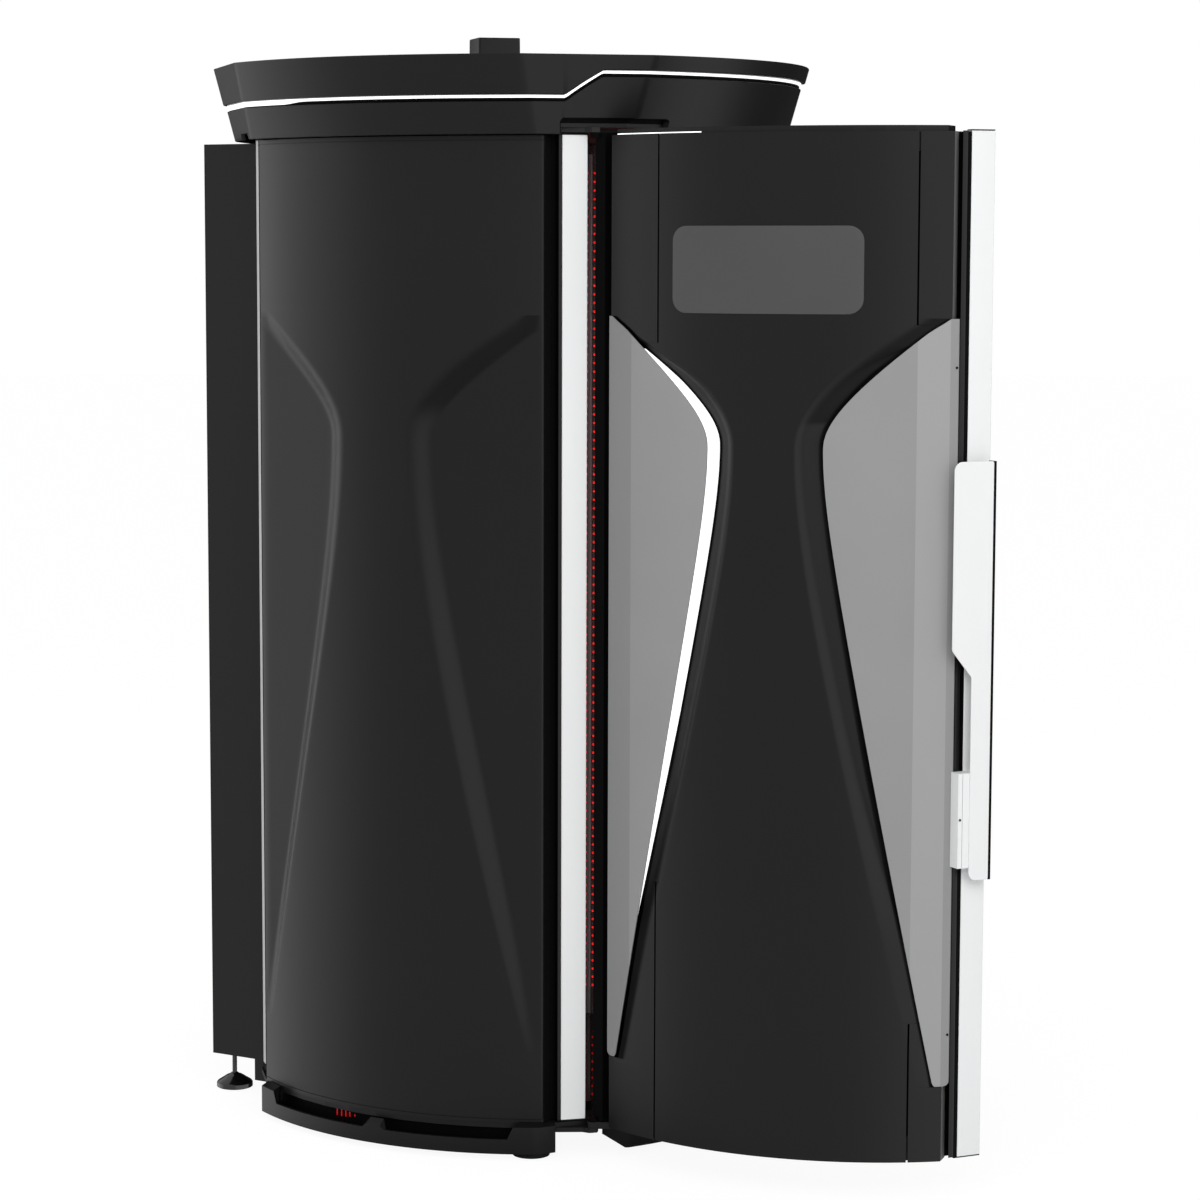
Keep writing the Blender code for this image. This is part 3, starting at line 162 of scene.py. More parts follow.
ROOT_HALF = math.sqrt(0.5)
FACET = (CANOPY_HALF - HALF_CHORD) / ROOT_HALF
ARC_RADIUS = (HALF_CHORD**2 + SAGITTA**2) / (2 * SAGITTA)
ARC_CENTRE = SIDE + SAGITTA - ARC_RADIUS
BEARING = {"front": 0.0, "right": 90.0, "rear": 180.0, "left": -90.0}
AXIS_Y = float(sum(corner[1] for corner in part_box("tread_plate")) / 2)
HINGE = next(j for j in frame["record"]["behaviour"]["joints"] if j["name"] == "door_hinge")
PIVOT = np.array(HINGE["pos_m"][:2])
DOOR_TURN = math.radians(HINGE["range_deg"][0])


def turned(x, y, angle):
    """A point turned about the origin by an angle."""
    cos, sin = math.cos(angle), math.sin(angle)
    return cos * x - sin * y, sin * x + cos * y


def on_side(side):
    """A placer for one side: (u, n, z) is turned about the booth's axis by the side's bearing."""

    def place(u, n, z):
        u, n, z = np.broadcast_arrays(u, n, z)
        x, y = turned(u, -n, math.radians(BEARING[side]))
        return np.stack([x, y + AXIS_Y, z], -1)

    return place


def on_door(u, n, z):
    """A placer for the door: a point of the shut door is turned about the pivot to open it."""
    shut = on_side("front")(u, n, z)
    x, y = turned(shut[..., 0] - PIVOT[0], shut[..., 1] - PIVOT[1], DOOR_TURN)
    return np.stack([x + PIVOT[0], y + PIVOT[1], shut[..., 2]], -1)


def corner(s, t, end):
    """(u, n) of a point s along and t behind the 45 degree facet at this end of a side."""
    s, t = np.broadcast_arrays(np.asarray(s, float), np.asarray(t, float))
    return end * (HALF_CHORD + (s - t) * ROOT_HALF), SIDE - (s + t) * ROOT_HALF


def arc(u):
    """Distance from the axis to the curved face of a side: a circle over the chord."""
    return ARC_CENTRE + np.sqrt(ARC_RADIUS**2 - np.square(u))


def flare(z, curve):
    """Half width of an hourglass: a hyperbola with its own slope above and below the waist."""
    waist, rise, rise_soft, fall, fall_soft = curve
    dz = z - WAIST
    soft = np.where(dz > 0, rise_soft, fall_soft)
    return waist + np.where(dz > 0, rise, fall) * (np.hypot(dz, soft) - soft)


def seam_ends(seam):
    """Heights between which the cover runs past a seam, because the slope starts inside it."""
    waist, rise, rise_soft, fall, fall_soft = COVER
    up = math.sqrt(((seam - waist) / rise + rise_soft) ** 2 - rise_soft**2)
    down = math.sqrt(((seam - waist) / fall + fall_soft) ** 2 - fall_soft**2)
    return WAIST - down, WAIST + up


def pane_edge(z):
    """Inner edge of a door pane: the window's curve, which bends over into a level top."""
    share = np.clip((z - WINDOW_TOP + WINDOW_BEND) / WINDOW_BEND, 0, 1)
    limit = HALF_CHORD - EDGE
    edge = np.minimum(flare(z, WINDOW), limit)
    return edge + (limit - edge) * (1 - np.sqrt(1 - share**2))


def hourglass(z, hinge):
    """Half widths on a flank of the door: start of the slope, its foot, and the pane's inner edge.

    The groove between the foot and the pane widens with the arc's height over the backing. Above
    the waist of the hinge flank the slope is no wider than its depth calls for.
    """
    window = pane_edge(z)
    deep = np.clip((arc(window) - BACKING) / LEAN_DEPTH, np.where(hinge, *GROOVE_LEAST), 1)
    foot = window - (GROOVE_FLOOR + GUIDE_LEAN) * deep
    inner = foot - 8 * EDGE
    start = np.minimum(flare(z, COVER) - CREST_SOFT, inner)
    near = foot - STEEP_START - STEEP_RUN * np.maximum(arc(foot) - BACKING, 0)
    near = np.maximum(start, np.minimum(near, inner))
    return np.where(hinge & (z > WAIST), near, start), foot, window


def soft_slope(share):
    """A straight ramp from 0 to 1 whose upper edge is rounded as a hyperbola."""
    whole = math.hypot(1, SLOPE_ROUND) - SLOPE_ROUND
    return (np.hypot(share, SLOPE_ROUND) - SLOPE_ROUND) / whole


# Meshes


def there_and_back(first, second):
    """Closed rows: along the first columns, then back along the second."""
    return np.concatenate([first, second[:, ::-1]], 1)


def marked(value, z):
    """UV points: a value that the finish reads, and the height."""
    return np.stack(np.broadcast_arrays(value, z), -1).reshape(-1, 2)


def loft(loops, ring=False):
    """Quads through closed loops of equal counts, capped at both ends or joined end to end."""
    loops = np.asarray(loops, float)
    rows, around = loops.shape[:2]
    row = np.arange(rows if ring else rows - 1)[:, None]
    k = np.arange(around)[None, :]
    after = (row + 1) % rows
    m = (k + 1) % around
    corners = [row * around + k, row * around + m, after * around + m, after * around + k]
    faces = np.stack(corners, -1).reshape(-1, 4).tolist()
    if not ring:
        faces += [list(range(around)), list(range((rows - 1) * around, rows * around))]
    return loops.reshape(-1, 3), faces


def joined(*parts):
    """Several shapes as one, each keeping its own faces."""
    points, faces, start = [], [], 0
    for part_points, part_faces in parts:
        points.append(part_points)
        faces += [[start + k for k in face] for face in part_faces]
        start += len(part_points)
    return np.concatenate(points), faces


def repeated(shape, centres, across, up, out):
    """One shape, given as (a, b, c) points, set at every centre along three directions."""
    points, faces = shape
    centres = np.asarray(centres, float)
    local = points[:, :1] * across + points[:, 1:2] * up + points[:, 2:3] * out
    moved = (centres[:, None, :] + local[None]).reshape(-1, 3)
    step = np.arange(len(centres)) * len(points)
    copies = [[start + k for k in face] for start in step.tolist() for face in faces]
    return moved, copies


def lathe(profile, count):
    """A turned shape about its own c axis from (radius, height) pairs, closed at both ends."""
    angle = np.arange(count) * 2 * math.pi / count
    ring = np.stack([np.cos(angle), np.sin(angle)], -1)
    return loft([np.column_stack([ring * wide, np.full(count, high)]) for wide, high in profile])


def linked(name, data):
    """A new object of the scene."""
    obj = bpy.data.objects.new(name, data)
    bpy.context.scene.collection.objects.link(obj)
    return obj


def piece(name, shape, material, body, stands_for=(), sharp=35, bevel=0.0, uv=None):
    """One finished object: outward faces, smooth with sharp edges, riding on its body."""
    points, faces = shape
    mesh = bpy.data.meshes.new(name)
    mesh.from_pydata(np.asarray(points).tolist(), [], faces)
    if uv is not None:
        layer = mesh.uv_layers.new(name="UVMap")
        index = np.empty(len(mesh.loops), np.int32)
        mesh.loops.foreach_get("vertex_index", index)
        layer.data.foreach_set("uv", np.asarray(uv, np.float32)[index].ravel())
    work = bmesh.new()
    work.from_mesh(mesh)
    bmesh.ops.recalc_face_normals(work, faces=work.faces)
    work.to_mesh(mesh)
    work.free()
    mesh.shade_smooth()
    mesh.set_sharp_from_angle(angle=math.radians(sharp))
    mesh.materials.append(material)
    obj = linked(name, mesh)
    if bevel:
        step = obj.modifiers.new("edges", "BEVEL")
        step.width = bevel
        step.segments = 2
        step.limit_method = "ANGLE"
        step.angle_limit = math.radians(40)
    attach(obj, body)
    if stands_for:
        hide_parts(*stands_for)


def rounded(points, radii, steps=6):
    """A closed outline with each corner replaced by an arc of its own radius."""
    points = np.asarray(points, float)
    radii = np.broadcast_to(np.asarray(radii, float), (len(points),))
    out = []
    for k, (here, radius) in enumerate(zip(points, radii)):
        if radius <= 0:
            out.append(here[None])
            continue
        before = points[k - 1] - here
        after = points[(k + 1) % len(points)] - here
        before, after = before / np.linalg.norm(before), after / np.linalg.norm(after)
        half = math.acos(np.clip(before @ after, -1, 1)) / 2
        run = radius / math.tan(half)
        middle = here + (before + after) / np.linalg.norm(before + after) * radius / math.sin(half)
        first, last = before * run + here - middle, after * run + here - middle
        share = np.linspace(0, 1, steps)[:, None]
        way = first * (1 - share) + last * share
        out.append(middle + way / np.linalg.norm(way, axis=1, keepdims=True) * radius)
    return np.concatenate(out)


def rectangle(left, right, low, high, radii, steps=6):
    """A rounded rectangle, from its lower left corner round."""
    return rounded([(left, low), (right, low), (right, high), (left, high)], radii, steps)


def shrunk(outline, amount):
    """A closed outline moved in by an amount, along the mean normal of each point's two edges."""
    outline = np.asarray(outline, float)
    along = np.roll(outline, -1, axis=0) - np.roll(outline, 1, axis=0)
    normal = np.column_stack([-along[:, 1], along[:, 0]])
    normal /= np.linalg.norm(normal, axis=1, keepdims=True)
    x, y = outline.T
    turn = np.sign(np.sum(x * np.roll(y, -1) - y * np.roll(x, -1)))
    return outline + normal * turn * amount


def plate(outline, near, far, edge, put):
    """A plate between two depths with eased edges: the outline shrinks a little at both faces."""
    small = shrunk(outline, edge)
    step = edge if far > near else -edge
    levels = [(small, near), (outline, near + step), (outline, far - step), (small, far)]
    return loft([put(line[:, 0], depth, line[:, 1]) for line, depth in levels])


# Finishes


class Value:
    """A shader socket that takes part in Python arithmetic; each operation adds one Math node."""

    def __init__(self, finish, socket):
        self.finish = finish
        self.socket = socket

    def combined(self, operation, first, second):
        """A Math node on two values, either of which may be a plain number."""
        return self.finish.node("ShaderNodeMath", {"operation": operation}, {0: first, 1: second})

    def __add__(self, other):
        return self.combined("ADD", self, other)

    def __sub__(self, other):
        return self.combined("SUBTRACT", self, other)

    def __rsub__(self, other):
        return self.combined("SUBTRACT", other, self)

    def __mul__(self, other):
        return self.combined("MULTIPLY", self, other)

    def __gt__(self, other):
        return self.combined("GREATER_THAN", self, other)

    def __lt__(self, other):
        return self.combined("LESS_THAN", self, other)

    __radd__ = __add__
    __rmul__ = __mul__


class Nodes:
    """A node tree, emptied, and the nodes that are added to it."""

    def __init__(self, owner):
        owner.use_nodes = True
        self.tree = owner.node_tree
        self.tree.nodes.clear()

    def node(self, kind, settings=None, sockets=None, give=0):
        """Adds a node: its settings, then its sockets as values or links; gives one output."""
        made = self.tree.nodes.new(kind)
        for key, value in (settings or {}).items():
            setattr(made, key, value)
        for key, value in (sockets or {}).items():
            self.feed(made.inputs[key], value)
        return None if give is None else Value(self, made.outputs[give])

    def feed(self, socket, value):
        """Links a socket to a value, or sets it to a plain one."""
        if isinstance(value, Value):
            self.tree.links.new(value.socket, socket)
        else:
            socket.default_value = value

    def place(self):
        """The point on the piece, in its own coordinates."""
        return self.node("ShaderNodeTexCoord", give="Object")

    def mark(self, axis=0):
        """One coordinate of the piece's UV map."""
        return self.node("ShaderNodeSeparateXYZ", None, {0: self.node("ShaderNodeUVMap")}, axis)

    def noise(self, scale, detail=2.0, where=None, rough=0.5):
        """Cloudy noise from 0 to 1 over the piece."""
        sockets = {"Vector": where or self.place(), "Scale": scale}
        sockets |= {"Detail": detail, "Roughness": rough}
        return self.node("ShaderNodeTexNoise", {"noise_dimensions": "3D"}, sockets)

    def lines(self, scale, squash):
        """Noise drawn out into lines along z."""
        sockets = {"Vector": self.place(), "Scale": (1.0, 1.0, squash)}
        return self.noise(scale, where=self.node("ShaderNodeMapping", None, sockets))

    def smooth_step(self, value, start, full):
        """0 up to the start, 1 from where it is full, and a smooth rise between them."""
        sockets = {0: value, 1: start, 2: full}
        return self.node("ShaderNodeMapRange", {"interpolation_type": "SMOOTHSTEP"}, sockets)

    def mixed(self, share, first, second):
        """A colour between two colours."""
        return self.node("ShaderNodeMix", {"data_type": "RGBA"}, {0: share, 6: first, 7: second}, 2)

    def bump(self, height, strength, distance):
        """A normal tilted by a height."""
        sockets = {"Height": height, "Strength": strength, "Distance": distance}
        return self.node("ShaderNodeBump", None, sockets)

    def rays(self, *kinds):
        """1 for rays of the named kinds, else 0."""
        first, *rest = (self.node("ShaderNodeLightPath", give=f"Is {kind} Ray") for kind in kinds)
        return sum(rest, first)

    def principled(self, **sockets):
        """The Principled shader, its sockets named with underscores for spaces."""
        named = {key.replace("_", " "): value for key, value in sockets.items()}
        if "IOR Level" in named:
            named["Specular IOR Level"] = named.pop("IOR Level")
        return self.node("ShaderNodeBsdfPrincipled", None, named)

    def blend(self, share, first, second):
        """A shader between two shaders."""
        return self.node("ShaderNodeMixShader", None, {0: share, 1: first, 2: second})

    def end(self, shader, kind="ShaderNodeOutputMaterial"):
        """Ends the tree in a shader."""
        self.node(kind, None, {"Surface": shader}, give=None)


class Finish(Nodes):
    """One material: its nodes, and the surface that they feed."""

    def __init__(self, name):
        self.material = bpy.data.materials.new(name)
        super().__init__(self.material)

    def made(self, shader):
        """The finished material."""
        self.end(shader)
        return self.material

    def surface(self, **sockets):
        """The finished material, from one Principled shader."""
        return self.made(self.principled(**sockets))


def grey(level):
    """A grey, very slightly cool."""
    return (level, level, level * 1.01, 1.0)


# Sprayed coats: level, roughness and gloss of the skins, and of the darker, duller coat that paints
# shade on their pressed slopes; peel and drift
SATIN_COAT = (0.0060, 0.36, 0.18)
SLOPE_SHADE_COAT = (0.0020, 0.60, 0.02)
COAT_PEEL = 0.02
COAT_DRIFT = 0.12


def coat(look, level, rough, gloss):
    """A sprayed coat: orange peel in the bump, and slow drifts of shade and roughness."""
    drift = look.noise(3.5, 3.0)
    colour = look.mixed(drift, grey(level * (1 - COAT_DRIFT)), grey(level * (1 + COAT_DRIFT)))
    normal = look.bump(look.noise(420.0), COAT_PEEL, 0.002)
    return look.principled(
        Base_Color=colour, Roughness=rough - 0.05 + 0.1 * drift, Normal=normal, IOR_Level=gloss
    )


def coated(name, level, rough, gloss):
    """A finish of one sprayed coat."""
    look = Finish(name)
    return look.made(coat(look, level, rough, gloss))


def shaded_skin_coat():
    """Satin on the skins, darker and duller where the UV map marks painted shade on a slope."""
    look = Finish("satin_black_skin")
    return look.made(look.blend(look.mark(), coat(look, *SATIN_COAT), coat(look, *SLOPE_SHADE_COAT)))


def rail_coat():
    """Cool grey lamp rails with a drawn grain along z."""
    look = Finish("grey_rail")
    grain = look.lines(600.0, 0.05)
    colour = look.mixed(grain, (0.33, 0.46, 0.47, 1), (0.38, 0.51, 0.52, 1))
    return look.surface(Base_Color=colour, Roughness=0.36 + 0.08 * grain, IOR_Level=0.3)


def polished_floor():
    """Polished black floor: fine scuffs break up the gloss."""
    look = Finish("polished_black_floor")
    scuff = look.noise(60.0, 6.0, rough=0.7)
    colour = look.mixed(scuff, grey(0.004), grey(0.008))
    return look.surface(Base_Color=colour, Roughness=0.01 + 0.03 * scuff, IOR_Level=0.5)


def white_coat():
    """White powder coat with a fine pebble and a slow warm drift."""
    look = Finish("white_powder_coat")
    drift = look.noise(2.2)
    colour = look.mixed(drift, (0.87, 0.88, 0.885, 1), (0.905, 0.915, 0.915, 1))
    normal = look.bump(look.noise(700.0), 0.03, 0.002)
    return look.surface(
        Base_Color=colour, Roughness=0.34 + 0.08 * drift, Normal=normal, IOR_Level=0.2
    )


def window_pane():
    """Grey translucent pane, with painted light and shade standing in for the real pane's facets: a
    lighter band beyond the free seam, where it turns towards the light.

    A darker band of painted shade runs down the hinge side, where it turns away, and a thin darker
    rim runs down the free edge.
    """
    look = Finish("smoked_window")
    along = look.mark()
    cloud = look.noise(5.0)
    colour = look.mixed(cloud, grey(0.285), grey(0.315))
    # Painted light and shade: lighter beyond the free seam, darker down the hinge side, and a thin
    # darker rim at the free edge.
    for zone, level in ((along > 0.915, 0.375), (along < 0.075, 0.235), (along > 0.997, 0.27)):
        colour = look.mixed(zone * 0.75, colour, grey(level))
    return look.surface(Base_Color=colour, Roughness=0.38 + 0.06 * cloud, IOR_Level=0.12)


def glowing(name, colour, strength, dim=0.92):
    """A glowing surface, for the lit diffusers and lamps and for the painted glints: its glow
    wavers slightly along its length.
    """
    look = Finish(name)
    shade = tuple(c * dim for c in colour[:3]) + (1.0,)
    glow = look.mixed(look.noise(9.0, 1.0), shade, colour)
    return look.surface(
        Base_Color=glow, Emission_Color=glow, Emission_Strength=strength, Roughness=0.4
    )


def clear_guard():
    """Clear sheet: faint smears change its haze and its gloss."""
    look = Finish("clear_guard")
    smear = look.noise(14.0, 5.0, rough=0.65)
    return look.surface(
        Base_Color=(0.75, 0.76, 0.77, 1), Alpha=0.10 + 0.05 * smear, Roughness=0.04 + 0.08 * smear
    )


def zinc_plate():
    """Plated steel: drawn lines along z and a blotched plating tone."""
    look = Finish("zinc_steel")
    lines = look.lines(900.0, 0.03)
    colour = look.mixed(look.noise(30.0, 3.0), grey(0.48 * 0.85), grey(0.48 * 1.1))
    normal = look.bump(lines, 0.05, 0.001)
    return look.surface(
        Base_Color=colour, Metallic=1.0, Roughness=0.28 + 0.16 * lines, Normal=normal
    )


def rubber():
    """Black rubber with a fine grain."""
    look = Finish("black_rubber")
    grain = look.noise(900.0, 3.0)
    colour = look.mixed(grain, grey(0.006), grey(0.012))
    normal = look.bump(grain, 0.12, 0.001)
    return look.surface(
        Base_Color=colour, Roughness=0.72 + 0.14 * grain, Normal=normal, IOR_Level=0.3
    )


def lamp_board():
    """Black circuit board with pale copper tracks on the lamps' pitch."""
    look = Finish("lamp_board")
    wave_u, wave_v = (
        look.node("ShaderNodeMath", {"operation": "PINGPONG"}, {0: look.mark(axis), 1: 0.5})
        for axis in (0, 1)
    )
    track = (wave_u < 0.06) + (wave_v < 0.05) * 0.6
    fleck = look.noise(300.0)
    colour = look.mixed(track * 0.8, grey(0.012), (0.05, 0.042, 0.035, 1))
    return look.surface(Base_Color=colour, Roughness=0.35 + 0.1 * fleck, IOR_Level=0.4)


def red_cap():
    """Red gloss cap with a slight cloud in its colour."""
    look = Finish("red_button_cap")
    cloud = look.noise(120.0)
    colour = look.mixed(cloud, (0.50, 0.008, 0.008, 1), (0.60, 0.014, 0.012, 1))
    return look.surface(Base_Color=colour, Roughness=0.26 + 0.08 * cloud)


SKIN = shaded_skin_coat()
SATIN = coated("satin_black_bar", *SATIN_COAT)
CANOPY_COAT = coated("satin_black_canopy", *SATIN_COAT)
FRAME_COAT = coated("matt_black_frame", 0.0020, 0.55, 0.03)
INNER_COAT = coated("black_inner_sheet", 0.0070, 0.45, 0.18)
PLATE_GREY = coated("grey_plate", 0.072, 0.45, 0.18)
RAIL_GREY = rail_coat()
GREY_EDGE_HIGHLIGHT = coated("grey_edge_seal", 0.17, 0.5, 0.10)
PALE_EDGE_HIGHLIGHT = coated("pale_corner_seal", 0.55, 0.5, 0.15)
BLACK_GLOSS = coated("gloss_black_foot", 0.0050, 0.16, 0.5)
WHITE = white_coat()
PANE = window_pane()
GUIDE = glowing("white_light_guide", (1.0, 1.0, 1.0, 1.0), 1.0)
BAND = glowing("white_light_band", (1.0, 1.0, 1.0, 1.0), 1.0)
LAMP = glowing("red_lamp", (1.0, 0.008, 0.007, 1.0), 1.0, 0.9)
RED_GLINT_GLOW = glowing("red_pilot_lamp", (1.0, 0.002, 0.002, 1.0), 0.03, 0.6)
LAMP.cycles.emission_sampling = "NONE"
RED_GLINT_GLOW.cycles.emission_sampling = "NONE"
BOARD = lamp_board()
GUARD = clear_guard()
FLOOR_PANEL = polished_floor()
ZINC = zinc_plate()
DARK_STEEL = coated("black_steel", 0.0090, 0.4, 0.2)
RUBBER = rubber()
RED = red_cap()
LOOKS = {
    "black_moulding": (SKIN, SATIN, CANOPY_COAT),
    "black_frame": (FRAME_COAT, INNER_COAT, BOARD),
    "grey_plate": (PLATE_GREY, GREY_EDGE_HIGHLIGHT),
    "supply_case": (RAIL_GREY,),
    "white_coat": (PALE_EDGE_HIGHLIGHT, WHITE),
    "rubber_foot": (BLACK_GLOSS, RUBBER),
    "smoked_window": (PANE,),
    "light_guide": (GUIDE, BAND),
    "red_cap": (LAMP, RED_GLINT_GLOW, RED),
    "zinc_steel": (ZINC,),
    "hinge_steel": (DARK_STEEL,),
}
SLOTS = {look: slot for slot, looks in LOOKS.items() for look in looks}


# Skins of the wings and of the door


def skin_rows(low, high, count):
    """Heights between two ends: even, with more round the waist and at the window's ends."""
    even = np.linspace(low, high, count)
    turn = np.linspace(WAIST - 0.16, WINDOW_TOP, 46)
    ends = np.array([WINDOW_BOTTOM - 0.0006, WINDOW_BOTTOM, WINDOW_TOP, WINDOW_TOP + 0.0006])
    rows = np.unique(np.round(np.concatenate([even, turn, ends]), 5))
    return rows[(rows >= low) & (rows <= high)][:, None]


SLOPE = np.linspace(0, 1, 18)[None, :]


def ease(share):
    """A smooth step from 0 to 1."""
    share = np.clip(share, 0, 1)
    return share * share * (3 - 2 * share)


def wing_face(u, z, middle, foot):
    """The arc, eased down a slope to a flat side field, which rounds off along the wing's edge."""
    rim = np.clip((u - HALF_CHORD + FIELD_RIM) / FIELD_RIM, 0, 1)
    field = SIDE + (HALF_CHORD - u) * FIELD_SLOPE + RIM_DROP * (1 - rim**2)
    ends = ease((WINDOW_TOP - z) / SLOPE_END) * ease((z - WINDOW_BOTTOM) / SLOPE_END)
    share = ease((u - middle) / (foot - middle)) * ends
    seam = np.minimum(np.abs(z - STAND - CAP_BAND), np.abs(z - SKIN_TOP + CAP_BAND))
    sunk = np.where(seam < CAP_SEAM_HALF, CAP_SEAM_DEPTH, 0)
    return arc(u) * (1 - share) + field * share - sunk


def wing_skin(side):
    """A pressed sheet carried up the wing: its face, a rounded edge each side, and lips behind."""
    seams = np.array([STAND + CAP_BAND, SKIN_TOP - CAP_BAND])
    steps = (seams[:, None] + np.array([-0.0009, -0.0006, 0.0006, 0.0009])).ravel()
    z = np.sort(np.append(skin_rows(STAND, SKIN_TOP, 110)[:, 0], steps))[:, None]
    reach = HALF_CHORD - CORNER_ROUND
    foot = np.minimum(flare(z, WING), reach - EDGE)
    middle = np.minimum(flare(z, COVER), foot - EDGE)
    panel = middle * np.linspace(0, 1, 26)[None, :-1]
    slope = middle + (foot - middle) * SLOPE
    outside = foot + (reach - foot) * np.linspace(0, 1, 16)[None, 1:]
    half = np.concatenate([panel, slope, outside], 1)
    out = wing_face(half, z, middle, foot)
    turn = np.linspace(0, 1, 7)[None, 1:]
    away = 1 - turn
    edge_u = reach * away**2 + HALF_CHORD * (1 - away**2) + 0 * z
    edge_n = out[:, -1:] * away**2 + SIDE * 2 * turn * away + (SIDE - CORNER_ROUND) * turn**2
    lip_u = np.tile([HALF_CHORD, HALF_CHORD - SKIN_WALL], (len(z), 1))
    lip_n = np.full_like(lip_u, LIP_N)
    inner_u = half * (HALF_CHORD - SKIN_WALL) / reach
    side_u = there_and_back(np.concatenate([half, edge_u, lip_u], 1), inner_u)
    side_n = there_and_back(np.concatenate([out, edge_n, lip_n], 1), out - SKIN_WALL)
    across = np.concatenate([side_u, -side_u[:, -2:0:-1]], 1)
    depth = np.concatenate([side_n, side_n[:, -2:0:-1]], 1)
    # Painted shade: above the waist the front flank's slope is marked for the darker, duller coat.
    # It stands in for its dark reflection where it turns downward.
    front = across * (1 if side == "left" else -1) > 0
    share = (np.abs(across) - middle) / (foot - middle)
    painted_shade = 0.45 * ease(2.5 * share) * ease(6 - 6 * share) * front
    painted_shade = painted_shade * ease((z - WAIST - 0.03) / 0.05) * held(z)
    shape = loft(on_side(side)(across, depth, z))
    piece(f"{side}_wing_skin", shape, SKIN, "booth", [f"{side}_shell"], uv=marked(painted_shade, z))


def held(z):
    """True at the heights where the panes are."""
    return (z >= WINDOW_BOTTOM) & (z <= WINDOW_TOP)


def flank(u, z):
    """How far a point is down its flank's slope, from 0 to 1, and the depth of the slope's foot."""
    middle, foot, _ = hourglass(z, u < 0)
    ends = ease((z - WINDOW_BOTTOM) / 0.03) * ease((WINDOW_TOP - z) / SLOPE_END)
    depth = np.maximum(arc(foot) - BACKING - 4 * GAP, 0.0046) * ends
    return np.clip((np.abs(u) - middle) / (foot - middle), 0, 1) * held(z), depth


def face_reach(z, edge, hinge):
    """Half width of the door's face: to the slope's foot beside the panes, else to the edge."""
    return np.where(held(z), hourglass(z, hinge)[1], edge)


def face_edge(z, edge, hinge):
    """Half width at which the door's face starts to slope."""
    return np.where(held(z), hourglass(z, hinge)[0], edge)


def face_sheet(u, z):
    """A closed sheet under the door's face along the columns u, never lower than the backing.

    The face is the arc less its slopes. The UV map marks painted shade, a darker and duller coat,
    on the slopes: all of the hinge flank, and the free flank above its crease and along its foot.
    """
    share, depth = flank(u, z)
    outer = arc(u) - depth * soft_slope(share)
    inner = np.maximum(outer - SKIN_WALL, np.minimum(BACKING + GAP, outer - EDGE))
    # Painted shade on the slopes: the whole hinge flank, the free flank above its crease, and a
    # dark line along the free flank's foot.
    above = 0.55 * ease(2 * share) * ease((z - CREASE) / 0.008)
    foot = 0.9 * ease((share - 0.84) / 0.06)
    painted_shade = np.where(u < 0, 0.85 * ease(2 * share), np.maximum(above, foot))
    shape = loft(on_door(there_and_back(u, u), there_and_back(outer, inner), z))
    return shape, marked(there_and_back(painted_shade, painted_shade), z)


def door_rows(count):
    """Heights for the door's face, with a close pair of rows at each end of both seams."""
    ends = np.array([seam_ends(SEAM_HINGE), seam_ends(SEAM_FREE)]).ravel()
    pairs = (ends[:, None] + np.array([-0.0002, 0.0002])).ravel()
    return np.sort(np.append(skin_rows(STAND, SKIN_TOP, count)[:, 0], pairs))[:, None]


def door_cover():
    """The middle panel of the door: between the seams, and down the slopes where they stop."""
    z = door_rows(110)
    ends = []
    for seam, hinge in ((SEAM_HINGE, True), (SEAM_FREE, False)):
        low, high = seam_ends(seam)
        beside = (z > low) & (z < high)
        reach = np.where(beside, face_reach(z, HALF_CHORD, hinge), seam - SEAM_HALF)
        ends.append((np.minimum(face_edge(z, HALF_CHORD, hinge), reach - EDGE), reach))
    (left, left_end), (right, right_end) = ends
    share = np.linspace(0, 1, 44)[None, :]
    first = -left - (left_end - left) * SLOPE[:, :0:-1]
    last = right + (right_end - right) * SLOPE[:, 1:]
    u = np.concatenate([first, -left + (left + right) * share, last], 1)
    shape, uv = face_sheet(u, z)
    piece("door_middle_cover", shape, SKIN, "door", ["door_cover"], uv=uv)


def door_stile(name, sign, seam):
    """A stile: its two faces above and below the seam's ends, and a wall down the door's edge, grey
    with painted highlight at the free edge.
    """
    start = seam + SEAM_HALF
    low, high = seam_ends(seam)
    sheets = []
    z = door_rows(160)
    for patch in (z[z[:, 0] < low], z[z[:, 0] > high]):
        reach = face_reach(patch, HALF_CHORD, sign < 0)
        crest = np.clip(face_edge(patch, HALF_CHORD, sign < 0), start + EDGE, reach - EDGE)
        flat = start + (crest - start) * np.linspace(0, 1, 10)[None, :-1]
        slope = crest + (reach - crest) * SLOPE
        sheets.append(face_sheet(sign * np.concatenate([flat, slope], 1), patch))
    shape = joined(*(sheet for sheet, _ in sheets))
    uv = np.concatenate([marks for _, marks in sheets])
    piece(f"door_{name}_stile_face", shape, SKIN, "door", [f"door_stile_{name}"], uv=uv)
    top = arc(HALF_CHORD) - PANE_SEAT
    wall_u = HALF_CHORD - np.array([0.0, 0.0, 0.003, 0.003])
    wall_n = np.array([top, LIP_N, LIP_N, top])
    wall = loft(on_door(sign * wall_u, wall_n, np.linspace(STAND, SKIN_TOP, 8)[:, None]))
    # The free edge's wall is grey, a painted highlight of the rounded lip catching light; the hinge
    # edge's wall is black.
    piece(f"door_{name}_edge_wall", wall, FRAME_COAT if sign < 0 else GREY_EDGE_HIGHLIGHT, "door")


